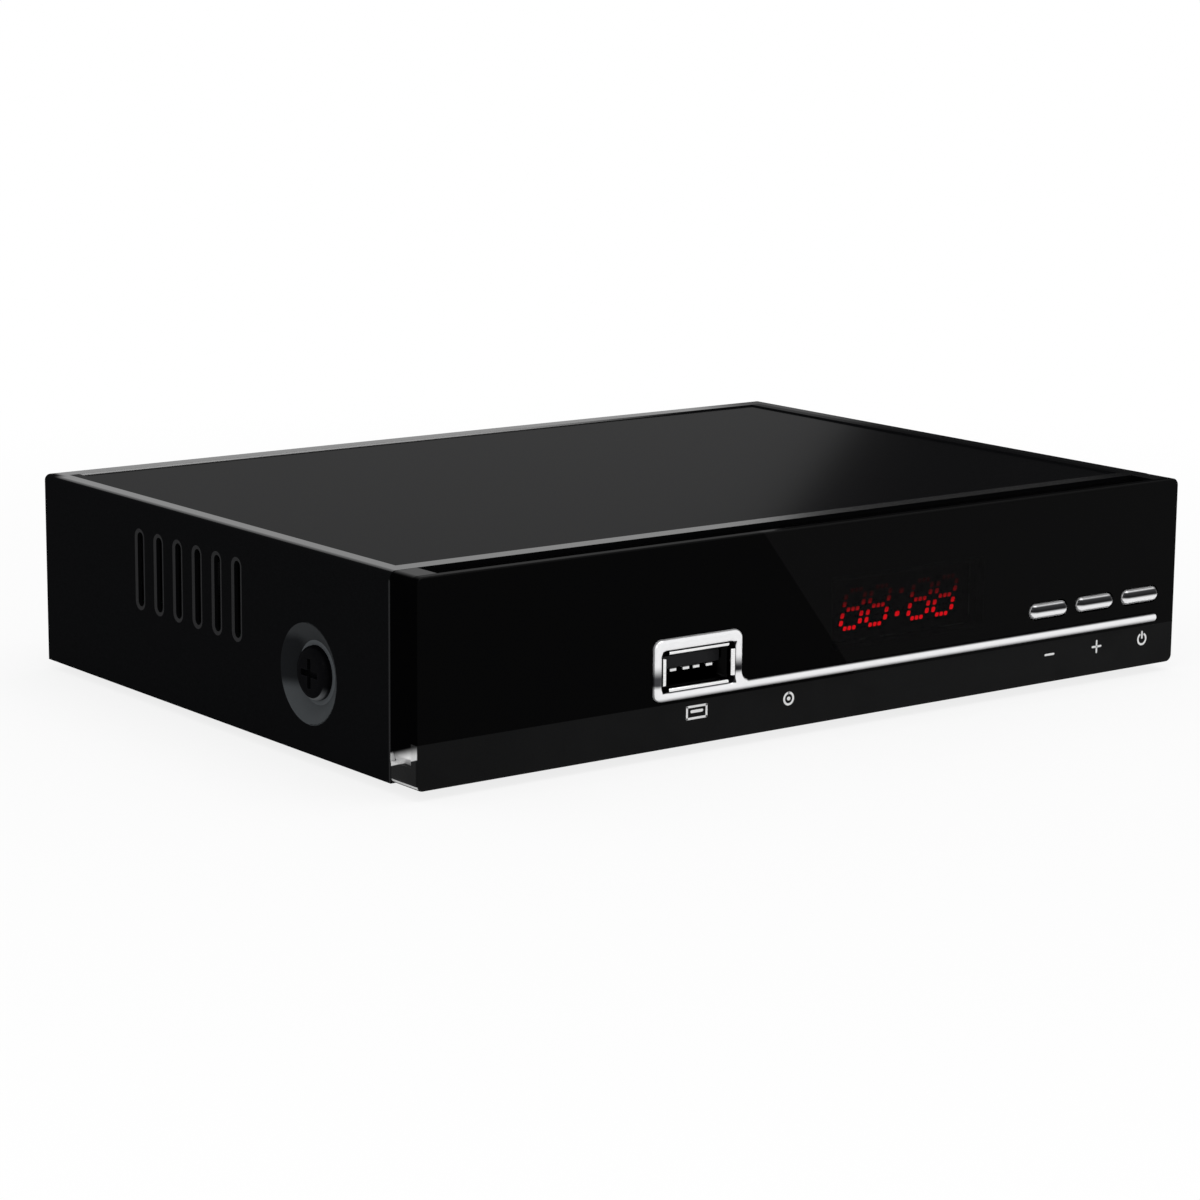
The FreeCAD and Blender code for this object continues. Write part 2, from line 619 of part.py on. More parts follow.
def key_hole(y0, y1):
    """The three key holes between two depths."""
    width = KEY_W + 2 * KEY_GAP
    height = KEY_H + 2 * KEY_GAP
    hole = plate(rectangle(width, height, height / 2), y1 - y0)
    return Part.makeCompound([put(hole, FACE_FRONT, x, y1, KEY_MID) for x in KEY_XS])


def make_front_lens():
    """The glossy front plate above the chin."""
    height = TOP_Z - CHIN_TOP
    corners = [(-HALF_W, 0, 0), (HALF_W, 0, 0), (HALF_W, height, CORNER_R), (-HALF_W, height, CORNER_R)]
    lens = plate(corners, LENS_T)
    lens = rounded(lens, EDGE_R, lambda edge: flat_at(edge, LENS_T) and edge.BoundBox.YMax > 1e-3)
    lens = put(lens, FACE_FRONT, 0, SKIN_Y, CHIN_TOP)
    seat = put(plate(bezel_corners(TRIM_GAP), TRIM_SEAT), FACE_FRONT, 0, FRONT_Y + TRIM_SEAT, 0)
    lens = lens.cut(seat)
    lens = lens.cut(socket_hole(BEZEL_IN_W, BEZEL_IN_H, BEZEL_IN_R, FRONT_Y, SKIN_Y))
    save("front_lens", lens.cut(key_hole(FRONT_Y, SKIN_Y)))


def make_trim():
    """The chromed bezel and strip, proud of the front plate and seated in it."""
    trim = plate(bezel_corners(), TRIM_SEAT + TRIM_PROUD)
    hole = put(plate(rectangle(BEZEL_IN_W, BEZEL_IN_H, BEZEL_IN_R), 2 * LENS_T), FACE_UP, USB_X, USB_MID, 0)
    trim = rounded(trim.cut(hole), TRIM_EDGE_R, lambda edge: flat_at(edge, TRIM_SEAT + TRIM_PROUD))
    save("chrome_trim", put(trim, FACE_FRONT, 0, FRONT_Y + TRIM_SEAT, 0))


def make_chin():
    """The matt chin: a front wall, a bottom and two low returns round the sides."""
    corners = [(-HALF_W, 0, CORNER_R), (HALF_W, 0, CORNER_R), (HALF_W, CHIN_H, 0), (-HALF_W, CHIN_H, 0)]
    chin = plate(corners, PANEL_D)
    chin = rounded(chin, EDGE_R, lambda edge: flat_at(edge, PANEL_D) and edge.BoundBox.YMax < CHIN_H - 1e-3)
    chin = put(chin, FACE_FRONT, 0, PANEL_BACK, FLOOR_Z)
    inner_w = HALF_W - CHIN_T
    chin = chin.cut(block(-inner_w, inner_w, SKIN_Y, PANEL_BACK, FLOOR_Z + CHIN_T, CHIN_TOP))
    chin = chin.cut(block(-HALF_W, HALF_W, SKIN_Y, PANEL_BACK, FLOOR_Z + CHIN_SIDE_H, CHIN_TOP))
    save("front_chin", chin)


def side_roll():
    """What is taken off both sides of the moulding where they roll in above the chin."""
    drop = CHIN_H - CHIN_SIDE_H
    radius = (drop ** 2 + ROLL_IN ** 2) / (2 * ROLL_IN)
    sweep = math.asin(drop / radius)
    centre_x = HALF_W - radius
    points = [
        Vec(centre_x + radius * math.cos(part * sweep), SKIN_Y, CHIN_TOP - radius * math.sin(part * sweep))
        for part in (0, 0.5, 1)
    ]
    corner = Vec(HALF_W, SKIN_Y, points[2].z)
    edges = [
        Part.Arc(points[0], points[1], points[2]).toShape(),
        Part.makeLine(points[2], corner),
        Part.makeLine(corner, points[0]),
    ]
    right = Part.Face(Part.Wire(edges)).extrude(Vec(0, PANEL_D - LENS_T, 0))
    return right.fuse(right.mirror(Vec(0, 0, 0), Vec(1, 0, 0)))


def make_front_body():
    """The moulding behind the front plate: walls, grooved top, openings and screw bosses."""
    depth = PANEL_D - LENS_T
    height = CASE_H - CHIN_SIDE_H
    corners = [(-HALF_W, 0, 0), (HALF_W, 0, 0), (HALF_W, height, CORNER_R), (-HALF_W, height, CORNER_R)]
    upper = put(plate(corners, depth), FACE_FRONT, 0, PANEL_BACK, FLOOR_Z + CHIN_SIDE_H)
    lower_w = HALF_W - CHIN_T
    lower = block(-lower_w, lower_w, SKIN_Y, PANEL_BACK, FLOOR_Z + CHIN_T, FLOOR_Z + CHIN_SIDE_H)
    body = fuse([upper, lower]).cut(side_roll())
    cavity_top = TOP_Z - GROOVE_DROP - BODY_WALL
    cavity_bottom = FLOOR_Z + CHIN_T + BODY_WALL
    for outer_w, z0, z1 in ((HALF_W, CHIN_TOP, cavity_top), (lower_w, cavity_bottom, CHIN_TOP)):
        cavity_w = outer_w - BODY_WALL
        body = body.cut(block(-cavity_w, cavity_w, INNER_Y, PANEL_BACK, z0, z1))
    groove_w = HALF_W - GROOVE_END
    body = body.cut(block(-groove_w, groove_w, SKIN_Y, PANEL_BACK, TOP_Z - GROOVE_DROP, TOP_Z))
    bosses = [
        front_boss(x, FLOOR_Z + FRONT_SCREW_Z, FRONT_PCB_Y, FRONT_SCREW_HOLD) for x in FRONT_SCREW_XS
    ]
    bosses += [
        front_boss(x, FLOOR_Z + PANEL_SCREW_Z, PANEL_BACK, PANEL_SCREW_HOLD) for x in PANEL_SCREW_XS
    ]
    body = fuse([body] + bosses)
    hole_w = USB_OUT_W + 2 * WINDOW_GAP
    body = body.cut(socket_hole(hole_w, USB_OUT_H + 2 * WINDOW_GAP, BEZEL_IN_R, SKIN_Y, INNER_Y))
    body = body.cut(key_hole(SKIN_Y, INNER_Y))
    window = plate(rectangle(DISPLAY_W + 2 * WINDOW_GAP, DISPLAY_H + 2 * WINDOW_GAP), BODY_WALL)
    body = body.cut(put(window, FACE_FRONT, DISPLAY_X, INNER_Y, DISPLAY_MID))
    body = body.cut(put(disc(EYE_HOLE_R, BODY_WALL), FACE_FRONT, EYE_X, INNER_Y, EYE_MID))
    save("front_body", body)


def front_boss(x, z, end_y, hold):
    """A screw boss from the front wall of the moulding back to a depth, with its blind hole."""
    length = end_y - INNER_Y
    boss = disc(BOSS_R, length, -length).cut(disc(M2_R + SCREW_GAP, hold + SCREW_ROOM, -length))
    return put(boss, FACE_FRONT, x, INNER_Y, z)


def make_front_screws():
    """Screws that hold the front board to the moulding, and the moulding to the tray."""
    board = screw(M2_R, PCB_T + FRONT_SCREW_HOLD, M2_HEAD_R, M2_HEAD_H)
    z = FLOOR_Z + FRONT_SCREW_Z
    save("front_board_screws", [put(board, FACE_REAR, x, FRONT_PCB_BACK, z) for x in FRONT_SCREW_XS])
    panel = screw(M2_R, SHEET + PANEL_SCREW_HOLD, M2_HEAD_R, M2_HEAD_H)
    z = FLOOR_Z + PANEL_SCREW_Z
    save("front_panel_screws", [put(panel, FACE_REAR, x, PANEL_BACK + SHEET, z) for x in PANEL_SCREW_XS])


def make_keys():
    """Three chromed keys, each with its flange and stem, and the switches that they press."""
    reach = KEY_PROUD + LENS_T + BODY_WALL
    cap = plate(rectangle(KEY_W, KEY_H, KEY_H / 2), reach)
    cap = rounded(cap, KEY_DOME_R, lambda edge: flat_at(edge, reach))
    flange_h = KEY_H + 2 * KEY_FLANGE
    flange = plate(rectangle(KEY_W + 2 * KEY_FLANGE, flange_h, flange_h / 2), KEY_FLANGE_T, -KEY_FLANGE_T)
    stem = disc(KEY_STEM_R, KEY_STEM, -KEY_FLANGE_T - KEY_STEM)
    key = fuse([cap, flange, stem])
    plunger_l = PLUNGER_L + PLUNGER_SUNK
    plunger = disc(PLUNGER_R, plunger_l, -plunger_l)
    for name, x in zip(KEY_NAMES, KEY_XS):
        save("key_" + name, put(key, FACE_FRONT, x, INNER_Y, KEY_MID))
        save("plunger_" + name, put(plunger, FACE_FRONT, x, FLANGE_BACK + KEY_STEM, KEY_MID))
    well_l = PLUNGER_SUNK + PLUNGER_ROOM
    switch = plate(rectangle(SWITCH_W, SWITCH_W, 0.3), SWITCH_D, -SWITCH_D)
    switch = switch.cut(disc(PLUNGER_R + PLUNGER_GAP, well_l, -well_l))
    save("key_switches", [put(switch, FACE_FRONT, x, SWITCH_FRONT, KEY_MID) for x in KEY_XS])


# ---- USB socket --------------------------------------------------------------------------------------
def usb_lip(span, half, fold, rotation):
    """One lip of the USB shell, folded out from the wall at half the opening's size from the middle."""
    outer = half + USB_WALL
    profile = [
        Vec(0, half, -LIP_L), Vec(0, half, -LIP_CURL), Vec(0, half + LIP_CURL, 0), Vec(0, half + fold, 0),
        Vec(0, half + fold, -USB_WALL), Vec(0, outer, -USB_WALL), Vec(0, outer, -LIP_L),
    ]
    lip = Part.Face(Part.makePolygon(profile + profile[:1])).extrude(Vec(span, 0, 0))
    lip.translate(Vec(-span / 2, 0, 0))
    lip.rotate(Vec(0, 0, 0), Vec(0, 0, 1), rotation)
    return lip


def make_usb():
    """The USB socket: a folded steel shell with four flared lips, a tongue and four contacts."""
    tube_l = USB_DEPTH - LIP_L
    shell = plate(rectangle(USB_OUT_W, USB_OUT_H, 0.6), tube_l, -USB_DEPTH)
    shell = shell.cut(plate(rectangle(USB_IN_W, USB_IN_H, 0.4), tube_l - USB_WALL, -USB_DEPTH + USB_WALL))
    lips = [usb_lip(USB_IN_W - LIP_NOTCH, USB_IN_H / 2, LIP_TOP, turn) for turn in (0, 180)]
    lips += [usb_lip(USB_IN_H - LIP_NOTCH, USB_IN_W / 2, LIP_SIDE, turn) for turn in (90, 270)]
    save("usb_shell", put(fuse([shell] + lips), FACE_FRONT, USB_X, USB_MOUTH, USB_MID))
    back = -USB_DEPTH + USB_WALL
    root_l = 2.0
    root = plate(rectangle(USB_IN_W, USB_IN_H, 0.4), root_l, back)
    tongue = plate(rectangle(TONGUE_W, TONGUE_T, 0.3), -TONGUE_SET_BACK - back, back)
    tongue.translate(Vec(0, TONGUE_LIFT + TONGUE_T / 2, 0))
    save("usb_tongue", put(fuse([root, tongue]), FACE_FRONT, USB_X, USB_MOUTH, USB_MID))
    strip_l = -TONGUE_SET_BACK - back - root_l
    contacts = []
    for x in USB_CONTACT_XS:
        strip = plate(rectangle(USB_CONTACT_W, USB_CONTACT_T), strip_l, back + root_l)
        strip.translate(Vec(x, TONGUE_LIFT - USB_CONTACT_T / 2, 0))
        tip_h = USB_TIP_H + USB_CONTACT_T
        tip = plate(rectangle(USB_CONTACT_W, tip_h), USB_CONTACT_T, -TONGUE_SET_BACK)
        tip.translate(Vec(x, TONGUE_LIFT - tip_h / 2, 0))
        contacts.append(put(fuse([strip, tip]), FACE_FRONT, USB_X, USB_MOUTH, USB_MID))
    save("usb_contacts", contacts)


# ---- Front board -------------------------------------------------------------------------------------
def segment(x, y, length, upright):
    """A pointed bar of a digit about its own middle."""
    half_l = length / 2 - SEGMENT_GAP
    half_w = SEGMENT_W / 2
    points = [
        (-half_l, 0), (-half_l + half_w, -half_w), (half_l - half_w, -half_w),
        (half_l, 0), (half_l - half_w, half_w), (-half_l + half_w, half_w),
    ]
    if upright:
        points = [(-v, u) for u, v in points]
    return [(x + u, y + v) for u, v in points]


def slanted(points, x):
    """Lean a flat outline over like the digits and move it sideways."""
    lean = math.tan(math.radians(DIGIT_SLANT))
    return [(x + u + v * lean, v, 0) for u, v in points]


def make_display():
    """The display module with its four seven-bar digits and the colon between them."""
    module = plate(rectangle(DISPLAY_W, DISPLAY_H), DISPLAY_D - SEGMENT_T, -DISPLAY_D)
    save("display_module", put(module, FACE_FRONT, DISPLAY_X, DISPLAY_FACE, DISPLAY_MID))
    reach_x = (DIGIT_W - SEGMENT_W) / 2
    reach_y = (DIGIT_H - SEGMENT_W) / 2
    digit = [segment(0, y, 2 * reach_x, False) for y in (-reach_y, 0, reach_y)]
    for x in (-reach_x, reach_x):
        digit += [segment(x, y, reach_y, True) for y in (-reach_y / 2, reach_y / 2)]
    inner_x = (COLON_ROOM + DIGIT_PITCH) / 2
    outlines = []
    for x in (-inner_x - DIGIT_PITCH, -inner_x, inner_x, inner_x + DIGIT_PITCH):
        outlines += [slanted(points, x) for points in digit]
    dot = SEGMENT_W / 2
    for rise in (-COLON_RISE, COLON_RISE):
        corners = [(-dot, rise - dot), (dot, rise - dot), (dot, rise + dot), (-dot, rise + dot)]
        outlines.append(slanted(corners, 0))
    bars = [plate(corners, SEGMENT_T, -SEGMENT_T) for corners in outlines]
    save("display_segments", [put(bar, FACE_FRONT, DISPLAY_X, DISPLAY_FACE, DISPLAY_MID) for bar in bars])


def make_eye():
    """The remote control eye: a small block with a domed front, standing on the front board."""
    reach = FRONT_PCB_Y - INNER_Y - EYE_DOME_R
    eye = plate(rectangle(EYE_W, EYE_H), EYE_T, reach - EYE_T)
    dome = Part.makeSphere(EYE_DOME_R, Vec(0, 0, reach))
    legs = [plate(rectangle(EYE_W * 0.8, 0.8), reach - EYE_T)]
    legs[0].translate(Vec(0, -EYE_H / 3, 0))
    legs.append(legs[0].mirror(Vec(0, 0, 0), Vec(0, 1, 0)))
    save("remote_eye", put(fuse([eye, dome] + legs), FACE_FRONT, EYE_X, FRONT_PCB_Y, EYE_MID))


def make_front_board():
    """The upright board that carries the display, the eye and the key switches."""
    z0 = FLOOR_Z + FRONT_PCB_Z
    board = block(FRONT_PCB_X0, FRONT_PCB_X1, FRONT_PCB_Y, FRONT_PCB_BACK, z0, z0 + FRONT_PCB_H)
    hole = disc(M2_R + SCREW_GAP, 2 * PCB_T)
    holes = [put(hole, FACE_FRONT, x, FRONT_PCB_BACK, FLOOR_Z + FRONT_SCREW_Z) for x in FRONT_SCREW_XS]
    save("front_board", board.cut(Part.makeCompound(holes)))


def make_ribbon():
    """The flat ribbon from the main board to the front board, with a socket at each end."""
    front_plug = plate(rectangle(PLUG_W, PLUG_H, 0.4), PLUG_T)
    save("ribbon_socket_front", put(front_plug, FACE_REAR, DISPLAY_X, FRONT_PCB_BACK, FLOOR_Z + RIBBON_Z))
    start_y = FRONT_PCB_BACK + PLUG_T
    down_y = start_y + RIBBON_RUN + RIBBON_R
    main_plug = plate(rectangle(PLUG_W, PLUG_T, 0.4), PLUG_H)
    save("ribbon_socket_main", put(main_plug, FACE_UP, DISPLAY_X, down_y, PCB_TOP))
    level = FLOOR_Z + RIBBON_Z
    skins = []
    for offset in (-RIBBON_T / 2, RIBBON_T / 2):
        radius = RIBBON_R + offset
        bend = [
            Vec(0, down_y - RIBBON_R + radius * math.sin(turn), level - RIBBON_R + radius * math.cos(turn))
            for turn in (0, math.pi / 4, math.pi / 2)
        ]
        skins.append((Vec(0, start_y, level + offset), bend, Vec(0, down_y + offset, PCB_TOP + PLUG_H)))
    edges = []
    for start, bend, end in skins:
        edges += [Part.makeLine(start, bend[0]), Part.Arc(*bend).toShape(), Part.makeLine(bend[2], end)]
    edges += [Part.makeLine(skins[0][0], skins[1][0]), Part.makeLine(skins[0][2], skins[1][2])]
    face = Part.Face(Part.Wire(Part.__sortEdges__(edges)))
    face.translate(Vec(DISPLAY_X - RIBBON_W / 2, 0, 0))
    save("ribbon_cable", face.extrude(Vec(RIBBON_W, 0, 0)))


# ---- Main board --------------------------------------------------------------------------------------
def make_main_board():
    """The main board, stepped back behind the front board, on four standoffs."""
    corners = [
        (-PCB_X, PCB_FRONT, 0), (PCB_STEP_X, PCB_FRONT, 0), (PCB_STEP_X, PCB_STEP_Y, 0),
        (PCB_X, PCB_STEP_Y, 0), (PCB_X, PCB_REAR, 0), (-PCB_X, PCB_REAR, 0),
    ]
    board = plate(corners, PCB_T, PCB_BOTTOM)
    hole = disc(M3_R + SCREW_GAP, 2 * PCB_T, -1.5 * PCB_T)
    board = board.cut(Part.makeCompound([put(hole, FACE_UP, x, y, PCB_TOP) for x, y in PCB_SCREWS]))
    save("main_board", board)
    standoff = ring(STANDOFF_R, M3_R + SCREW_GAP, PCB_BOTTOM - FLOOR_TOP)
    save("board_standoffs", [put(standoff, FACE_UP, x, y, FLOOR_TOP) for x, y in PCB_SCREWS])
    board_screw = screw(M3_R, M3_GRIP, M3_HEAD_R, M3_HEAD_H)
    save("main_board_screws", [put(board_screw, FACE_UP, x, y, PCB_TOP) for x, y in PCB_SCREWS])


def on_board(shape, places):
    """Copies of a piece that stand on the main board at (x, y) places."""
    return [put(shape, FACE_UP, x, y, PCB_TOP) for x, y in places]


def make_processor():
    """The processor with its pad and finned heat sink, the memories and the crystal."""
    chip = plate(rectangle(CHIP_W, CHIP_W, 0.5), CHIP_T)
    save("processor", on_board(chip, [(CHIP_X, PCB_MID_Y)]))
    pad = plate(rectangle(CHIP_W - 1.0, CHIP_W - 1.0), PAD_T, CHIP_T)
    save("thermal_pad", on_board(pad, [(CHIP_X, PCB_MID_Y)]))
    base_z = CHIP_T + PAD_T
    pieces = [plate(rectangle(SINK_W, SINK_W), SINK_BASE, base_z)]
    fin = plate(rectangle(FIN_T, SINK_W), SINK_H, base_z)
    fin_pitch = (SINK_W - FIN_T) / (FIN_COUNT - 1)
    for step in range(FIN_COUNT):
        pieces.append(put(fin, FACE_UP, -(SINK_W - FIN_T) / 2 + step * fin_pitch, 0, 0))
    save("heat_sink", on_board(fuse(pieces), [(CHIP_X, PCB_MID_Y)]))
    memory = plate(rectangle(MEMORY_W, MEMORY_L, 0.3), MEMORY_T)
    x = CHIP_X + MEMORY_X
    save("memory_chips", on_board(memory, [(x, PCB_MID_Y - MEMORY_Y), (x, PCB_MID_Y + MEMORY_Y)]))
    flash = plate(rectangle(FLASH_W, FLASH_W, 0.3), FLASH_T)
    save("flash_chip", on_board(flash, [(CHIP_X + FLASH_X, PCB_MID_Y)]))
    crystal = plate(rectangle(CRYSTAL_W, CRYSTAL_L, CRYSTAL_W / 2), CRYSTAL_H)
    crystal = rounded(crystal, 0.4, lambda edge: flat_at(edge, CRYSTAL_H))
    save("crystal", on_board(crystal, [(CHIP_X + CRYSTAL_X, PCB_MID_Y - CRYSTAL_Y)]))


def make_power_parts():
    """Capacitors, coils and regulators of the supply, and the smallest parts in rows."""
    can = rounded(disc(CAN_R, CAN_H), 0.5, lambda edge: flat_at(edge, CAN_H))
    x = -PCB_X + CAN_INSET
    first = PCB_REAR - CAN_REAR
    cans = on_board(can, [(x, first - step * CAN_PITCH) for step in range(CAN_COUNT)])
    small = rounded(disc(SMALL_CAN_R, SMALL_CAN_H), 0.4, lambda edge: flat_at(edge, SMALL_CAN_H))
    y = PCB_REAR - TUNER_L - SMALL_CAN_PITCH
    cans += on_board(small, [(TUNER_X + step * SMALL_CAN_PITCH, y) for step in (-1, 0, 1)])
    save("capacitors", cans)
    coil = plate(rectangle(COIL_W, COIL_W, COIL_R), COIL_H)
    coil = rounded(coil, 0.6, lambda edge: flat_at(edge, COIL_H))
    x = CHIP_X + COIL_X
    save("power_coils", on_board(coil, [(x, PCB_MID_Y), (x, PCB_MID_Y + COIL_PITCH)]))
    regulator = plate(rectangle(REGULATOR_W, REGULATOR_W, 0.3), REGULATOR_T)
    places = [(x, PCB_MID_Y - COIL_PITCH), (TUNER_X, PCB_MID_Y)]
    save("regulators", on_board(regulator, places))
    tiny = plate(rectangle(TINY_W, TINY_L), TINY_H)
    places = []
    for row in (-1, 1):
        for step in range(TINY_COUNT):
            x = CHIP_X + (step - (TINY_COUNT - 1) / 2) * TINY_PITCH
            places.append((x, PCB_MID_Y + row * (SINK_W / 2 + 2 * TINY_L)))
    save("small_parts", on_board(tiny, places))


# ---- Rear sockets ------------------------------------------------------------------------------------
def make_tuner():
    """The screened tuner box and its clipped lid."""
    rear = WALL_IN
    x0 = TUNER_X - TUNER_W / 2
    x1 = TUNER_X + TUNER_W / 2
    y0 = rear - TUNER_L
    top = PCB_TOP + TUNER_H
    box = block(x0, x1, y0, PCB_REAR, PCB_TOP, top)
    wall = TUNER_WALL
    box = box.cut(block(x0 + wall, x1 - wall, y0 + wall, PCB_REAR - wall, PCB_TOP + wall, top))
    hole = disc(AERIAL_R + SCREW_GAP, 3 * wall, -2 * wall)
    save("tuner_box", box.cut(put(hole, FACE_REAR, TUNER_X, PCB_REAR, AERIAL_Z)))
    lid = block(x0, x1, y0, PCB_REAR, top, top + TUNER_LID_T)
    low = top - TUNER_LID_SKIRT
    skirt = block(x0 + wall, x1 - wall, y0 + wall, PCB_REAR - wall, low, top)
    inner = 2 * wall
    skirt = skirt.cut(block(x0 + inner, x1 - inner, y0 + inner, PCB_REAR - inner, low, top))
    save("tuner_lid", fuse([lid, skirt]))


def make_aerial_socket():
    """The threaded aerial socket with its washer, nut, insulator and centre contact."""
    tip = AERIAL_REACH + SHEET
    inside = WALL_OUT - PCB_REAR + TUNER_WALL
    barrel = Part.makeCylinder(AERIAL_R, tip + inside, Vec(0, 0, -inside))
    barrel = barrel.makeChamfer(AERIAL_CHAMFER, [edge for edge in barrel.Edges if flat_at(edge, tip)])
    barrel = barrel.cut(disc(AERIAL_BORE_R, AERIAL_BORE_L, tip - AERIAL_BORE_L))
    barrel = barrel.cut(ring(2 * AERIAL_R, AERIAL_GROOVE_R, AERIAL_GROOVE_L, WASHER_T + NUT_T))
    at = (FACE_REAR, TUNER_X, WALL_OUT, AERIAL_Z)
    save("aerial_barrel", put(barrel, *at))
    plug_z = tip - AERIAL_PLUG_BACK - AERIAL_PLUG_L
    save("aerial_insulator", put(ring(AERIAL_BORE_R, AERIAL_CONTACT_R, AERIAL_PLUG_L, plug_z), *at))
    contact_z = tip - AERIAL_BORE_L
    contact_l = AERIAL_BORE_L - AERIAL_PLUG_BACK - 0.2
    save("aerial_contact", put(ring(AERIAL_CONTACT_R, AERIAL_PIN_HOLE_R, contact_l, contact_z), *at))
    washer = ring(WASHER_R, AERIAL_R + SCREW_GAP, WASHER_T)
    nut_r = NUT_ACROSS / math.sqrt(3)
    turns = [step * math.pi / 3 for step in range(6)]
    hexagon = [(nut_r * math.cos(turn), nut_r * math.sin(turn), 0) for turn in turns]
    nut = plate(hexagon, NUT_T, WASHER_T).cut(disc(AERIAL_R + SCREW_GAP, NUT_T, WASHER_T))
    save("aerial_washer", put(washer, *at))
    save("aerial_nut", put(nut, *at))


def make_av_sockets():
    """Three phono sockets in one block: metal rings with coloured cores and collars."""
    housing = block(-1.5 * AV_PITCH, 1.5 * AV_PITCH, -AV_H / 2, AV_H / 2, -SHEET - AV_L, -SHEET)
    tip = SHEET + AV_REACH
    sunk = SHEET + AV_SUNK
    tube = disc(AV_RING_R, tip - AV_COLLAR_T, AV_COLLAR_T)
    tube = tube.makeChamfer(AV_TIP_CHAMFER, [edge for edge in tube.Edges if flat_at(edge, tip)])
    tube = fuse([tube, disc(AV_NECK_R, AV_COLLAR_T + sunk, -sunk)])
    tube = tube.cut(disc(AV_BORE_R, tip + sunk, -sunk))
    core = ring(AV_BORE_R, AV_HOLE_R, tip - AV_CORE_BACK + sunk, -sunk)
    collar = ring(AV_COLLAR_R, AV_NECK_R, AV_COLLAR_T)
    rings = []
    for name, step in (("video_core", 1), ("audio_left_core", 0), ("audio_right_core", -1)):
        housing = housing.cut(Part.makeCylinder(AV_NECK_R, sunk, Vec(-step * AV_PITCH, 0, -sunk)))
        at = (FACE_REAR, AV_X + step * AV_PITCH, WALL_OUT, AV_Z)
        rings.append(put(tube, *at))
        save(name, [put(core, *at), put(collar, *at)])
    save("av_housing", put(housing, FACE_REAR, AV_X, WALL_OUT, AV_Z))
    save("av_rings", rings)


def hdmi_corners(grow):
    """Outline of the HDMI shell, grown outwards by a gap or drawn in by a wall."""
    w = HDMI_W / 2 + grow
    h = HDMI_H / 2 + grow
    foot = HDMI_FOOT_W / 2 + grow
    shoulder = HDMI_SHOULDER - HDMI_H / 2
    return [(-foot, -h, 0), (foot, -h, 0), (w, shoulder, 0), (w, h, 0), (-w, h, 0), (-w, shoulder, 0)]


def make_hdmi():
    """The HDMI socket: shell, tongue and two rows of contacts."""
    at = (FACE_REAR, HDMI_X, WALL_OUT, HDMI_Z)
    back = HDMI_PROUD - HDMI_L
    shell = plate(hdmi_corners(0), HDMI_L, back)
    shell = shell.cut(plate(hdmi_corners(-HDMI_WALL), HDMI_L - HDMI_WALL, back + HDMI_WALL))
    save("hdmi_shell", put(shell, *at))
    root_z = back + HDMI_WALL
    root = plate(hdmi_corners(-HDMI_WALL), 1.5, root_z)
    tongue_l = HDMI_PROUD - HDMI_TONGUE_BACK - root_z
    tongue = plate(rectangle(HDMI_TONGUE_W, HDMI_TONGUE_T), tongue_l, root_z)
    save("hdmi_tongue", put(fuse([root, tongue]), *at))
    pin_z = HDMI_PROUD - HDMI_TONGUE_BACK - HDMI_PIN_L
    pins = []
    for row, count in ((1, 10), (-1, 9)):
        for step in range(count):
            pin = plate(rectangle(HDMI_PIN_W, HDMI_PIN_T), HDMI_PIN_L, pin_z)
            x = (step - (count - 1) / 2) * HDMI_PIN_PITCH
            pin.translate(Vec(x, row * (HDMI_TONGUE_T + HDMI_PIN_T) / 2, 0))
            pins.append(put(pin, *at))
    save("hdmi_contacts", pins)


def make_power_jack():
    """The barrel jack for the supply, with its centre pin."""
    middle = PCB_TOP + JACK_H / 2
    body = plate(rectangle(JACK_W, JACK_H, 0.4), JACK_L, JACK_PROUD - JACK_L)
    body = put(body, FACE_REAR, JACK_X, WALL_OUT, middle)
    at = (FACE_REAR, JACK_X, WALL_OUT, JACK_Z)
    body = body.cut(put(disc(JACK_BORE_R, JACK_BORE_L, JACK_PROUD - JACK_BORE_L), *at))
    save("power_jack_body", body)
    pin_l = JACK_BORE_L - JACK_PIN_BACK
    pin = disc(JACK_PIN_R, pin_l, JACK_PROUD - JACK_BORE_L)
    pin = rounded(pin, 0.4, lambda edge: flat_at(edge, JACK_PROUD - JACK_PIN_BACK))
    save("power_jack_pin", put(pin, *at))


os.makedirs("parts", exist_ok=True)
make_feet()
make_base_tray()
make_top_cover()
make_case_screws()
make_front_lens()
make_trim()
make_chin()
make_front_body()
make_front_screws()
make_keys()
make_usb()
make_display()
make_eye()
make_front_board()
make_ribbon()
make_main_board()
make_processor()
make_power_parts()
make_tuner()
make_aerial_socket()
make_av_sockets()
make_hdmi()
make_power_jack()
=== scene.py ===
# %% [markdown]
# # A small satellite receiver
#
# The real object is a folded steel box with a moulded front. Its steel and plastic are already there as
# exact solids, each in its own place, so nothing has to be fitted: this script dresses them. It gives every
# solid the finish that its maker would have given it, and adds what is easier to shape as a surface than as
# a solid: the lit points of the display, the printed signs, the folded lips of the USB socket and the
# thread of the aerial socket.

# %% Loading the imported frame
import json

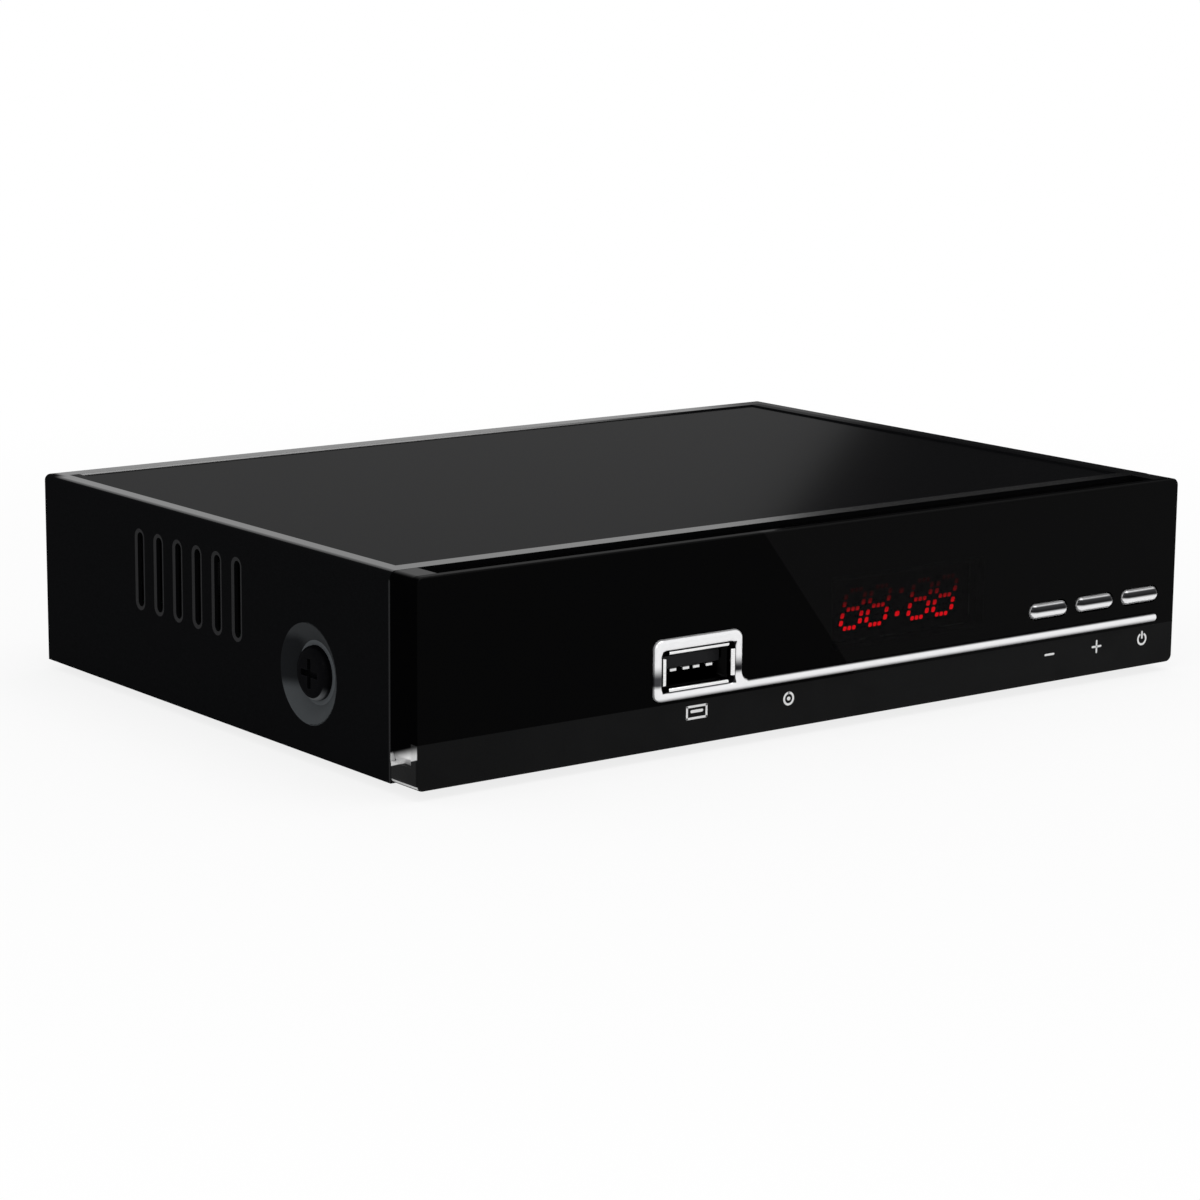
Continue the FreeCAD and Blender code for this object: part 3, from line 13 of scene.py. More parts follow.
import bmesh
import bpy
import numpy as np
from mathutils import Matrix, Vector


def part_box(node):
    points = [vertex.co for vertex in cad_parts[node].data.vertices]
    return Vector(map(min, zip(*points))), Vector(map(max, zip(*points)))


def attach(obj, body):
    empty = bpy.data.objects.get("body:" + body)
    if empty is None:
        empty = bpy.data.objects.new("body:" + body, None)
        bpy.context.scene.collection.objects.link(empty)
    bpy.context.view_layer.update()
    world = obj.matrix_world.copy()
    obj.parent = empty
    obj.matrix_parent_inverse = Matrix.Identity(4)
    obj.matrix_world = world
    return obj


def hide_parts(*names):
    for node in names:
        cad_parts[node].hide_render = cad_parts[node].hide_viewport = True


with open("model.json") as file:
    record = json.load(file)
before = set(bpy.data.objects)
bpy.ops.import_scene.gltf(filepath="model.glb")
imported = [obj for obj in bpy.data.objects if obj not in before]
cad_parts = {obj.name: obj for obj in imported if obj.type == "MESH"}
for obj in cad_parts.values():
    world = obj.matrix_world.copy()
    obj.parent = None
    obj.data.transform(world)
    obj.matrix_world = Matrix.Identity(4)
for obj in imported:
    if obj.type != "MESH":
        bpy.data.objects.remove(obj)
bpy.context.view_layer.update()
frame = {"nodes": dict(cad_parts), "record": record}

# %% [markdown]
# ## Measures
#
# Blender works in metres and the drawing of a receiver is read in millimetres. A few planes of the case are
# named once here, because the finishes change at them: the sunk field of the top is smooth lacquer while
# its rim is glossier, and the moulding rolls inwards above the chin. They are read from the solids' own
# boxes, so the finishes stay in place if the case is made in another size.

# %% Planes of the case
MM = 0.001


def box_of(node):
    """Lowest and highest corner of a node as two arrays."""
    low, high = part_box(node)
    return np.array(low), np.array(high)


def middle_of(node):
    """The middle of a node's box."""
    low, high = box_of(node)
    return (low + high) / 2


cover_low, cover_high = box_of("top_cover")
COVER_FRONT = cover_low[1]
SIDE_X, COVER_BACK, TOP_Z = cover_high
CHIN_FOOT, CHIN_TOP = (corner[2] for corner in box_of("front_chin"))
FRONT_Y = box_of("front_lens")[0][1]
USB_X, _, USB_Z = middle_of("usb_shell")
DISPLAY_X, _, DISPLAY_Z = middle_of("display_segments")
print("case", np.round((cover_high - cover_low) / MM, 2), "mm, front face at y", round(FRONT_Y / MM, 2))

# %% [markdown]
# ## Writing nodes in one line
#
# A material is a small network of nodes. It could be wired by hand, three lines for each node, and that
# hides what the network says. A few helpers keep it readable: `node` adds one node and takes either a value
# or another node's output for each input, `figure`, `step` and `spot` are the sums and soft steps that
# masks are made of, and `between` and `blend` go from one number or colour to another by a mask.

# %% One node
def node(tree, kind, inputs=None, **settings):
    """One shader node. Each input is a value that is set, or another node's output that is linked."""
    made = tree.nodes.new("ShaderNode" + kind)
    for setting, value in settings.items():
        setattr(made, setting, value)
    for name, value in (inputs or {}).items():
        if isinstance(value, bpy.types.NodeSocket):
            tree.links.new(value, made.inputs[name])
        else:
            made.inputs[name].default_value = value
    return made


print("nodes are made by", node.__name__)

# %% Numbers and masks


def figure(tree, operation, first, second=0.0, third=0.0):
    """The result of one arithmetic step on numbers or outputs."""
    return node(tree, "Math", {0: first, 1: second, 2: third}, operation=operation).outputs[0]


def step(tree, value, low, high):
    """0 below low, 1 above high and a smooth rise between them. Where low is larger, it falls instead."""
    limits = {"Value": value, "From Min": low, "From Max": high}
    return node(tree, "MapRange", limits, interpolation_type="SMOOTHSTEP").outputs[0]


def product(tree, *factors):
    """Several masks multiplied together."""
    result = factors[0]
    for factor in factors[1:]:
        result = figure(tree, "MULTIPLY", result, factor)
    return result


def spot(tree, value, low, high, fade):
    """1 where value lies between low and high, falling to 0 over the length fade outside them."""
    return product(tree, step(tree, value, low - fade, low), step(tree, value, high + fade, high))


def inverse(tree, mask):
    """1 where the mask is 0, and 0 where it is 1."""
    return figure(tree, "SUBTRACT", 1.0, mask)


print("masks are made by", step.__name__, spot.__name__, product.__name__, inverse.__name__)

# %% From one value to another


def between(tree, mask, first, last):
    """A number that goes from first to last as the mask goes from 0 to 1."""
    return node(tree, "Mix", {"Factor": mask, 2: first, 3: last}).outputs[0]


def blend(tree, mask, first, last):
    """A colour that goes from first to last as the mask goes from 0 to 1."""
    first, last = ((*colour, 1.0) if isinstance(colour, tuple) else colour for colour in (first, last))
    return node(tree, "Mix", {"Factor": mask, 6: first, 7: last}, data_type="RGBA").outputs[2]


def tint(tree, colour, tone):
    """A colour multiplied by a tone that varies over the surface."""
    return node(tree, "VectorMath", {0: colour, "Scale": tone}, operation="SCALE").outputs[0]


def grey(level):
    """A colour of three equal parts."""
    return (level,) * 3


print("values change by", between.__name__, blend.__name__, tint.__name__)

# %% Where a point is and which way it faces


def object_point(tree):
    """The point being shaded, in the frame that the solids were drawn in."""
    return node(tree, "TexCoord").outputs["Object"]


def parts(tree, vector):
    """The x, y and z of a vector."""
    return node(tree, "SeparateXYZ", {0: vector}).outputs


def place(tree):
    """The x, y and z of the point being shaded."""
    return parts(tree, object_point(tree))


def facing(tree):
    """The x, y and z of the surface's own direction, each made positive."""
    direction = node(tree, "NewGeometry").outputs["True Normal"]
    return parts(tree, node(tree, "VectorMath", {0: direction}, operation="ABSOLUTE").outputs[0])


def away(tree, first, first_centre, second, second_centre):
    """How far a point is from a centre in two of the three directions, and the distance that they make."""
    legs = [figure(tree, "SUBTRACT", value, centre) for value, centre in
            ((first, first_centre), (second, second_centre))]
    squares = [figure(tree, "MULTIPLY", leg, leg) for leg in legs]
    return *legs, figure(tree, "SQRT", figure(tree, "ADD", *squares))


print("places are read by", place.__name__, facing.__name__, away.__name__)

# %% [markdown]
# ## Shared effects
#
# Some effects come back on many finishes: the fine grain of powder paint and moulded plastic, the uneven
# sheen that hands and cloths leave, the lines that rolling and brushing leave in metal, and edges made
# lighter in colour, which stand for wear and, as painted highlight, for the light that edges catch. Each is
# built once as a node group with named inputs, and every material places it with its own values. A group
# only hands out tones, masks and heights. The shader that uses them stays in the material.

# %% An empty group with named sockets
def new_group(name, inputs, outputs):
    """A node group with number inputs at their default values and number outputs."""
    group = bpy.data.node_groups.new(name, "ShaderNodeTree")
    for title, value in inputs.items():
        socket = group.interface.new_socket(name=title, in_out="INPUT", socket_type="NodeSocketFloat")
        socket.default_value = value
    for title in outputs:
        group.interface.new_socket(name=title, in_out="OUTPUT", socket_type="NodeSocketFloat")
    entry = group.nodes.new("NodeGroupInput")
    way_out = group.nodes.new("NodeGroupOutput")
    return group, entry.outputs, way_out.inputs


def hand_out(group, given, **values):
    """Wires values to a group's outputs of the same names."""
    for name, value in values.items():
        group.links.new(value, given[name])
    print(group.name, "gives", list(values))


def noise_tone(group, noise, contrast):
    """A tone round 1 that swings with a noise by the contrast."""
    swing = figure(group, "SUBTRACT", noise, 0.5)
    return figure(group, "MULTIPLY_ADD", swing, figure(group, "MULTIPLY", contrast, 2.0), 1.0)


def use(tree, group, **values):
    """Places a group in a material with its own values and returns its outputs."""
    named = {key.replace("_", " ").capitalize(): value for key, value in values.items()}
    return node(tree, "Group", named, node_tree=group).outputs


print("helpers ready:", new_group.__name__, noise_tone.__name__, use.__name__)

# %% Fine grain
grain, asked, given = new_group("fine_grain", {"Size": 0.4 * MM, "Contrast": 0.2}, ("Height", "Tone"))
scale = figure(grain, "DIVIDE", 1.0, asked["Size"])
bumps = node(grain, "TexNoise", {"Vector": object_point(grain), "Scale": scale, "Detail": 3.0,
                                 "Roughness": 0.6}).outputs[0]
hand_out(grain, given, Height=bumps, Tone=noise_tone(grain, bumps, asked["Contrast"]))

# %% Uneven sheen from handling
sheen, asked, given = new_group(
    "handled_sheen", {"Size": 18 * MM, "Smooth": 0.1, "Dull": 0.2}, ("Roughness",))
scale = figure(sheen, "DIVIDE", 1.0, asked["Size"])
cloud = node(sheen, "TexNoise", {"Vector": object_point(sheen), "Scale": scale, "Detail": 4.0,
                                 "Distortion": 0.8}).outputs[0]
patches = step(sheen, cloud, 0.35, 0.7)
span = figure(sheen, "SUBTRACT", asked["Dull"], asked["Smooth"])
hand_out(sheen, given, Roughness=figure(sheen, "MULTIPLY_ADD", patches, span, asked["Smooth"]))


def handled(tree, size, smooth, dull):
    """The roughness of a surface with smooth and dull patches of about that size in millimetres."""
    return use(tree, sheen, size=size * MM, smooth=smooth, dull=dull)["Roughness"]

# %% Lines left by rolling and brushing
lines, asked, given = new_group(
    "drawn_lines", {"Across x": 1.0, "Across y": 0.03, "Across z": 1.0, "Fineness": 6000.0, "Contrast": 0.2},
    ("Height", "Tone"))
stretch = node(lines, "CombineXYZ", {part: asked[part] for part in range(3)}).outputs[0]
stretched = node(lines, "VectorMath", {0: object_point(lines), 1: stretch}, operation="MULTIPLY").outputs[0]
streaks = node(lines, "TexNoise", {"Vector": stretched, "Scale": asked["Fineness"],
                                   "Detail": 2.0}).outputs[0]
hand_out(lines, given, Height=streaks, Tone=noise_tone(lines, streaks, asked["Contrast"]))

# %% Edges made lighter: wear and painted highlight
wear_and_highlight, asked, given = new_group("edge_wear_and_highlight", {"Radius": 0.25 * MM, "Amount": 1.0}, ("Edge",))
rounded = node(wear_and_highlight, "Bevel", {"Radius": asked["Radius"]}, samples=4).outputs[0]
flat = node(wear_and_highlight, "NewGeometry").outputs["Normal"]
alike = node(wear_and_highlight, "VectorMath", {0: rounded, 1: flat}, operation="DOT_PRODUCT").outputs["Value"]
hand_out(wear_and_highlight, given, Edge=product(wear_and_highlight, step(wear_and_highlight, alike, 0.985, 0.85), asked["Amount"]))

# %% [markdown]
# ## Starting a finish
#
# Every finish is one Principled shader. The values that are the same all over the surface are set on its
# own sockets, so that they survive the export, and only what varies is wired to it by `feed`. `relief`
# turns a height into a bump of a stated depth.

# %% A material with one shader
finishes = {}


def finish(name, **values):
    """A new material under a slot's name, with its tree and its shader."""
    material = bpy.data.materials.new(name)
    material.use_nodes = True
    tree = material.node_tree
    tree.nodes.clear()
    named = {key.replace("_", " "): value for key, value in values.items()}
    shader = node(tree, "BsdfPrincipled", named)
    node(tree, "OutputMaterial", {"Surface": shader.outputs[0]})
    finishes[name] = material
    return tree, shader


def feed(tree, shader, **values):
    """Wires what varies over the surface to the shader's inputs."""
    for name, value in values.items():
        tree.links.new(value, shader.inputs[name.replace("_", " ")])


def relief(tree, shader, height, depth):
    """Feeds a height into the shader's normal as a bump of that depth in metres."""
    feed(tree, shader, Normal=node(tree, "Bump", {"Height": height, "Distance": depth}).outputs[0])


print("a finish starts from", finish.__name__)

# %% [markdown]
# ## Steel case
#
# The cover and the tray are folded from painted steel sheet. The paint is nearly black. What the eye sees
# is the lacquer over it, and that isn't even: the pressing rolls polish the raised rim of the top, the sunk
# field stays satin, and the sides are dull. At the slots, in the conical dimple, on the step beside the rim
# and along its front edge, lighter colours are painted on as highlights and reflections, and the dimple also
# gets painted shade behind the screw. A second shader for each zone would show a hard line where they meet.
# One lacquer coat and one colour that follow the height, the distance from the screw and the slope fade from
# zone to zone as the sheet itself does.

# %% Zones of the top
# The fold between the top and the sides starts, turns and ends at these depths below the top. The rim has no
# gloss in its rear left corner. The step beside it carries a painted highlight up to WALL_LIT_TO, and the
# rim's gloss falls off beyond RIM_LIT_TO.
HAIR = 0.1 * MM
RIM_W, CORNER_W, CORNER_L = 3.05 * MM, 2.4 * MM, 5.0 * MM
FOLD_TOP, FOLD_H, FOLD_FOOT = 0.3 * MM, 1.2 * MM, 1.6 * MM
WALL_LIT_TO, RIM_LIT_TO = 60 * MM, SIDE_X - 20 * MM

tree, shader = finish("case_steel", Specular_IOR_Level=0.0, Coat_Roughness=0.1, Coat_IOR=1.5)
x, y, z = place(tree)
slope_x, slope_y, slope_z = facing(tree)
within = product(tree, spot(tree, x, RIM_W - SIDE_X, SIDE_X - RIM_W, HAIR),
                 spot(tree, y, COVER_FRONT + RIM_W, COVER_BACK - RIM_W, HAIR))
high = step(tree, z, TOP_Z - FOLD_H, TOP_Z - FOLD_TOP)
level = step(tree, slope_z, 0.78, 0.90)
corner = product(tree, step(tree, x, CORNER_W - SIDE_X, CORNER_W / 2 - SIDE_X),
                 step(tree, y, COVER_BACK - CORNER_L, COVER_BACK - 0.4 * CORNER_L))
in_field = product(tree, within, high, level)
on_rim = product(tree, high, level, inverse(tree, within), inverse(tree, corner))
wall_highlight = product(tree, within, high, step(tree, slope_z, 0.9, 0.6), step(tree, slope_y, 0.3, 0.6),
                  step(tree, x, WALL_LIT_TO, 0.0))
print("rim", RIM_W / MM, "mm wide round the sunk field")

# %% Zones of the sides
# The cone of the dimple carries a painted reflection: painted shade behind and above the screw, and a pale
# tone where it faces the floor. Painted highlights lie on the bevels of the slots, on the seat of the screw
# and along the front edge, and a painted reflection of the floor where a short piece of that edge looks out
# under the roll of the moulding.
DIMPLE_Y, DIMPLE_Z = middle_of("side_screws")[1:]
DIMPLE_R, SEAT_R, HEAD_R = 7.9 * MM, 6.4 * MM, 4.3 * MM
SHADE_NEAR, SHADE_FAR = 1.5 * MM, 4.0 * MM
SLOTS_Y, FRONT_HIGHLIGHT_W = DIMPLE_Y + 10 * MM, 0.5 * MM
GAP_LOW, GAP_HIGH = 4.9 * MM, 5.9 * MM

on_side = product(tree, step(tree, z, TOP_Z - FOLD_H, TOP_Z - FOLD_FOOT), step(tree, slope_z, 0.9, 0.8))
slot_bevel_highlight = product(tree, on_side, step(tree, y, SLOTS_Y, SLOTS_Y + MM),
                step(tree, slope_x, 0.992, 0.980), step(tree, slope_x, 0.90, 0.94))
leg_y, leg_z, from_screw = away(tree, y, DIMPLE_Y, z, DIMPLE_Z)
in_dimple = product(tree, on_side, step(tree, from_screw, DIMPLE_R, DIMPLE_R - HAIR),
                    step(tree, slope_x, 0.2, 0.4))
cone = product(tree, in_dimple, step(tree, slope_x, 0.98, 0.95))
in_shade = product(tree, step(tree, leg_y, SHADE_NEAR, 3 * SHADE_NEAR),
                   spot(tree, leg_z, -SHADE_NEAR, SHADE_FAR, SHADE_FAR / 2))
lit_cone = product(tree, cone, inverse(tree, in_shade))
cone_low = step(tree, leg_z, SHADE_FAR, -SHADE_FAR)
cone_tone = blend(tree, cone_low, (0.034, 0.036, 0.038), (0.060, 0.065, 0.069))
seat_highlight = product(tree, in_dimple, step(tree, slope_x, 0.95, 0.98),
               step(tree, from_screw, SEAT_R + 2 * HAIR, SEAT_R - 2 * HAIR))
front_edge_highlight = product(tree, on_side, step(tree, slope_x, 0.9, 0.95),
               step(tree, y, COVER_FRONT + FRONT_HIGHLIGHT_W, COVER_FRONT + 0.6 * FRONT_HIGHLIGHT_W))
gap_floor_reflection = product(tree, step(tree, y, COVER_FRONT + HAIR / 2, COVER_FRONT + HAIR / 5),
                 step(tree, slope_y, 0.8, 0.95), spot(tree, z, GAP_LOW, GAP_HIGH, 4 * HAIR),
                 step(tree, figure(tree, "ABSOLUTE", x), SIDE_X - 3 * MM, SIDE_X - 2 * MM))
behind = product(tree, step(tree, y, COVER_BACK - FOLD_FOOT, COVER_BACK - FOLD_H),
                 step(tree, slope_y, 0.8, 0.9))
print("dimple", DIMPLE_R / MM, "mm in radius round the screw")

# %% Lacquer and paint
RIM_COAT, RIM_COAT_RIGHT, FIELD_COAT, REAR_COAT, SIDE_COAT = 0.62, 0.17, 0.077, 0.30, 0.012

coat = between(tree, step(tree, x, RIM_LIT_TO, SIDE_X - RIM_W), RIM_COAT, RIM_COAT_RIGHT)
coat = figure(tree, "MULTIPLY_ADD", on_rim, coat, SIDE_COAT)
coat = figure(tree, "MULTIPLY_ADD", in_field, FIELD_COAT, coat)
coat = figure(tree, "MULTIPLY_ADD", behind, REAR_COAT, coat)
paint = use(tree, grain, size=0.35 * MM, contrast=0.35)
roughness = handled(tree, 22, 0.42, 0.55)
colour = tint(tree, (0.0035, 0.0036, 0.004), paint["Tone"])
# Painted highlights, painted reflections and painted shade go into the colour here, one mask after the
# other.
for mask, lighter in (
        (slot_bevel_highlight, (0.027, 0.027, 0.028)), (wall_highlight, grey(0.45)), (cone, (0.011, 0.0118, 0.013)),
        (lit_cone, cone_tone), (seat_highlight, (0.085, 0.092, 0.098)), (front_edge_highlight, (0.024, 0.024, 0.025)),
        (gap_floor_reflection, grey(0.70))):
    colour = blend(tree, mask, colour, lighter)
feed(tree, shader, Base_Color=colour, Roughness=roughness, Coat_Weight=coat)
relief(tree, shader, paint["Height"], 0.012 * MM)
print("steel paint: coat", RIM_COAT, "on the rim,", FIELD_COAT, "in the field,", SIDE_COAT, "on the sides")

# %% [markdown]
# ## Front: glossy plate, moulding and matt chin
#
# The plate is a sheet of polished black acrylic that is printed black behind, with a window left clear for
# the display. Acrylic could be made as real glass, but then every ray would have to find its way through
# it. A surface that is see-through only inside the window, and only in front, looks the same from outside.
# The moulding behind it is the same polished black; where it rolls under, a pale metallic colour is painted
# on as a reflection of the floor. The chin is the same plastic from a sandblasted mould, so it is dull and
# finely grained, and a painted highlight and a painted reflection of the floor lie on its returned ends.

# %% Polished black
# The plate is printed a little darker left of a slanting line, which is given by its x at height 0 and its
# slope. The roll at the foot of the moulding's sides is seen along lines that fall backwards, and a pale
# metallic colour is painted on it as a reflection of the floor.
GLASS_LOW = (DISPLAY_X - 15.8 * MM, DISPLAY_Z - 4.4 * MM)
GLASS_HIGH = (DISPLAY_X + 14.6 * MM, DISPLAY_Z + 5.2 * MM)
CLEAR, GLASS_FADE, GLASS_SKIN = 0.7, 1.2 * MM, 0.2 * MM
TINT_AT, TINT_SLOPE = 12.3 * MM, 0.775
ROLL_H, ROLL_L, FALL = 1.6 * MM, 4 * MM, 0.33
UPPER_FROM, UPPER_FULL = 20 * MM, 22 * MM
PAINTED_REFLECTION_METAL, PLATE_COAT, TINTED_COAT = 0.5, 0.033, 0.078
EDGE_COAT_LEFT, EDGE_COAT_RIGHT, EDGE_COAT_BEHIND = 0.075, 0.035, 0.22


def under_roll(tree, y, z):
    """A height measured along lines that fall by a third backwards, and a mask of what the roll covers."""
    tilted = figure(tree, "MULTIPLY_ADD", figure(tree, "SUBTRACT", y, FRONT_Y), FALL, z)
    return tilted, step(tree, tilted, CHIN_TOP + HAIR, CHIN_TOP - ROLL_H)


def polished_black(name, window):
    """Polished black plastic; with window the part in front of the display is smoked instead."""
    tree, shader = finish(name, Specular_IOR_Level=0.0, Coat_Roughness=0.03, Coat_IOR=1.5)
    x, y, z = place(tree)
    slope_x, _, slope_z = facing(tree)
    roughness = handled(tree, 30, 0.10, 0.16)
    paint = use(tree, grain, size=6 * MM, contrast=0.1)
    colour = tint(tree, (0.0011, 0.0011, 0.0012), paint["Tone"])
    tilt = figure(tree, "MULTIPLY_ADD", z, TINT_SLOPE, x)
    tinted = step(tree, tilt, TINT_AT - 2 * HAIR, TINT_AT + 2 * HAIR)
    coat = between(tree, tinted, PLATE_COAT, TINTED_COAT)
    above = product(tree, step(tree, z, UPPER_FROM, UPPER_FULL), step(tree, slope_z, 0.15, 0.5))
    outside = step(tree, slope_x, 0.7, 0.3)
    if window:
        edge_coat = node(tree, "MapRange", {"Value": x, "From Min": -SIDE_X, "From Max": SIDE_X,
                                            "To Min": EDGE_COAT_LEFT, "To Max": EDGE_COAT_RIGHT}).outputs[0]
        coat = product(tree, figure(tree, "MULTIPLY_ADD", above, edge_coat, coat), outside)
        inside = product(tree, spot(tree, x, GLASS_LOW[0], GLASS_HIGH[0], GLASS_FADE),
                         spot(tree, z, GLASS_LOW[1], GLASS_HIGH[1], GLASS_FADE))
        in_front = inverse(tree, step(tree, y, FRONT_Y + GLASS_SKIN, FRONT_Y + GLASS_SKIN + HAIR))
        alpha = between(tree, inside, 1.0, product(tree, in_front, CLEAR))
        coat = figure(tree, "DIVIDE", coat, figure(tree, "MAXIMUM", alpha, CLEAR))
        feed(tree, shader, Alpha=alpha)
    else:
        # Painted reflection of the floor on the roll under the moulding's sides.
        roll_floor_reflection = product(tree, under_roll(tree, y, z)[1],
                       step(tree, figure(tree, "ABSOLUTE", x), SIDE_X - ROLL_L, SIDE_X - ROLL_L + MM))
        coat = product(tree, figure(tree, "MULTIPLY_ADD", above, EDGE_COAT_BEHIND, coat), outside)
        feed(tree, shader, Metallic=product(tree, roll_floor_reflection, PAINTED_REFLECTION_METAL))
        colour = blend(tree, roll_floor_reflection, colour, grey(0.86))
    feed(tree, shader, Base_Color=colour, Roughness=roughness, Coat_Weight=coat)


polished_black("gloss_front", False)
polished_black("gloss_plate", True)
print("window from and to", np.round(np.array((GLASS_LOW, GLASS_HIGH)) / MM, 1).tolist(), "mm")

# %% Matt chin
LEDGE_L, LEDGE_H, MIRROR_H = 6 * MM, 1.0 * MM, 2.15 * MM
FOOT_HIGHLIGHT_LOW, FOOT_HIGHLIGHT_HIGH = CHIN_FOOT + 0.45 * MM, CHIN_FOOT + 0.75 * MM
BLAST_SIZE = 0.22 * MM

tree, shader = finish("matt_front", Specular_IOR_Level=0.07)
x, y, z = place(tree)
slope_x, _, slope_z = facing(tree)
blasted = use(tree, grain, size=BLAST_SIZE, contrast=0.35)
roughness = handled(tree, 14, 0.5, 0.62)
ledge = product(tree, step(tree, slope_z, 0.8, 0.9),
                step(tree, z, CHIN_TOP - LEDGE_H, CHIN_TOP - 1.5 * LEDGE_H),
                step(tree, figure(tree, "ABSOLUTE", x), SIDE_X - LEDGE_L, SIDE_X - LEDGE_L + MM))
returned = figure(tree, "MAXIMUM", step(tree, slope_x, 0.5, 0.8), ledge)
# The returned ends carry two pale marks painted into the colour: a painted highlight line near the foot, and
# a painted reflection of the floor under the roll of the moulding.
foot_highlight = product(tree, returned, spot(tree, z, FOOT_HIGHLIGHT_LOW, FOOT_HIGHLIGHT_HIGH, 0.08 * MM))
tilted, covered = under_roll(tree, y, z)
chin_floor_reflection = product(tree, returned, covered,
                   step(tree, tilted, CHIN_TOP - MIRROR_H, CHIN_TOP - MIRROR_H + 1.5 * HAIR))
colour = tint(tree, (0.0022, 0.0023, 0.0025), blasted["Tone"])
colour = blend(tree, figure(tree, "MAXIMUM", foot_highlight, chin_floor_reflection), colour, grey(0.70))
feed(tree, shader, Base_Color=colour, Roughness=roughness)
relief(tree, shader, blasted["Height"], 0.02 * MM)
print("chin grain", BLAST_SIZE / MM, "mm, parting line on the returned ends")

# %% [markdown]
# ## Bright plating
#
# The trim and the three keys are plastic with a bright chromium plating. Plating has hardly a colour of its
# own: it shows what stands round it. A room has dark and light parts, and each key shows one soft dark band
# above its middle, each upright bar of the bezel another. Building the room for two bands a millimetre wide
# would take many cards, so the bands are painted reflections in the plating's colour. The two rounded edges
# of the strip and the inside of the bezel's opening are darkened with painted shade in the same way. Next to
# them lie the faint waviness of the moulding under the plating and wiping marks.

# %% Painted reflections and painted shade on the bezel and the strip
# Lengths across are measured from the middle of the socket. The bezel's upright bars stand at BAR_X and
# carry a painted reflection band, the inside of the opening gets painted shade, the strip starts at
# STRIP_FROM, and its two rounded edges get painted shade.
BAR_X, BAR_END, BAR_TOP, BAR_FADE = 7.1 * MM, 8.8 * MM, 14.9 * MM, 12.7 * MM
BAR_FOOT_LEFT, BAR_FOOT_RIGHT = 11.5 * MM, 12.1 * MM
OPENING_HALF_H = 3.22 * MM
STRIP_LOW = box_of("chrome_trim")[0][2]
STRIP_HIGH, STRIP_FROM = STRIP_LOW + 1.6 * MM, 9.2 * MM

tree, shader = finish("chrome_plate", Metallic=0.6, Specular_IOR_Level=0.2)
x, y, z = place(tree)
beside = figure(tree, "SUBTRACT", x, USB_X)
aside = figure(tree, "ABSOLUTE", beside)
on_right = step(tree, beside, -MM, MM)
on_bar = product(tree, step(tree, aside, BAR_X - HAIR, BAR_X + HAIR),
                 step(tree, beside, BAR_END, BAR_END - 2 * HAIR))
over_foot = figure(tree, "SUBTRACT", z, between(tree, on_right, BAR_FOOT_LEFT, BAR_FOOT_RIGHT))
bar_painted_reflection = product(tree, on_bar, step(tree, over_foot, -0.45 * MM, 0.3 * MM),
                   step(tree, z, BAR_TOP, BAR_FADE))
bar_reflection_colour = blend(tree, on_right, (0.045, 0.045, 0.05), (0.010, 0.010, 0.012))
opening_shade = product(tree, step(tree, aside, BAR_X + 1.5 * HAIR, BAR_X + 0.3 * HAIR),
                     spot(tree, z, USB_Z - OPENING_HALF_H, USB_Z + OPENING_HALF_H, HAIR))
on_strip = step(tree, beside, STRIP_FROM, STRIP_FROM + 6 * HAIR)
upper_edge = product(tree, on_strip, step(tree, z, STRIP_HIGH - 4 * HAIR, STRIP_HIGH - HAIR),
                     step(tree, z, STRIP_HIGH + 4 * HAIR, STRIP_HIGH + 2 * HAIR))
lower_edge = step(tree, z, STRIP_LOW + 8.5 * HAIR, STRIP_LOW + HAIR / 2)
strip_edge_shade = figure(tree, "MAXIMUM", upper_edge, lower_edge)
print("strip from", round(STRIP_LOW / MM, 2), "to", round(STRIP_HIGH / MM, 2), "mm")

# %% Painted reflections on the keys
KEY_Z = middle_of("key_power")[2]
KEY_FOOT, KEYS_FROM = 11.5 * MM, 40 * MM
BAND_LOW, BAND_HIGH = (-0.28 * MM, 0.16 * MM), (1.08 * MM, 0.80 * MM)

on_key = product(tree, step(tree, y, FRONT_Y - HAIR / 2, FRONT_Y - HAIR),
                 step(tree, z, KEY_FOOT, KEY_FOOT + 3 * HAIR), step(tree, x, 0.0, KEYS_FROM))
over_key = figure(tree, "SUBTRACT", z, KEY_Z)
key_painted_reflection = product(tree, on_key, step(tree, over_key, *BAND_LOW), step(tree, over_key, *BAND_HIGH))
key_reflection_colour = blend(tree, step(tree, over_key, HAIR, HAIR + MM), (0.003, 0.003, 0.0035), (0.035, 0.035, 0.038))
print("key band about", round(KEY_Z / MM, 2), "mm")

# %% Plating
roughness = handled(tree, 5, 0.10, 0.18)
waves = use(tree, grain, size=2.2 * MM, contrast=0.03)
colour = tint(tree, (0.92, 0.92, 0.93), waves["Tone"])
# Painted reflection bands and painted shade darken the plating's colour here.
for mask, darker in ((bar_painted_reflection, bar_reflection_colour), (opening_shade, (0.012, 0.012, 0.013)),
                     (strip_edge_shade, (0.012, 0.012, 0.013)), (key_painted_reflection, key_reflection_colour)):
    colour = blend(tree, mask, colour, darker)
feed(tree, shader, Base_Color=colour, Roughness=roughness)
relief(tree, shader, waves["Height"], 0.004 * MM)
print("plating done")

# %% Bare metals


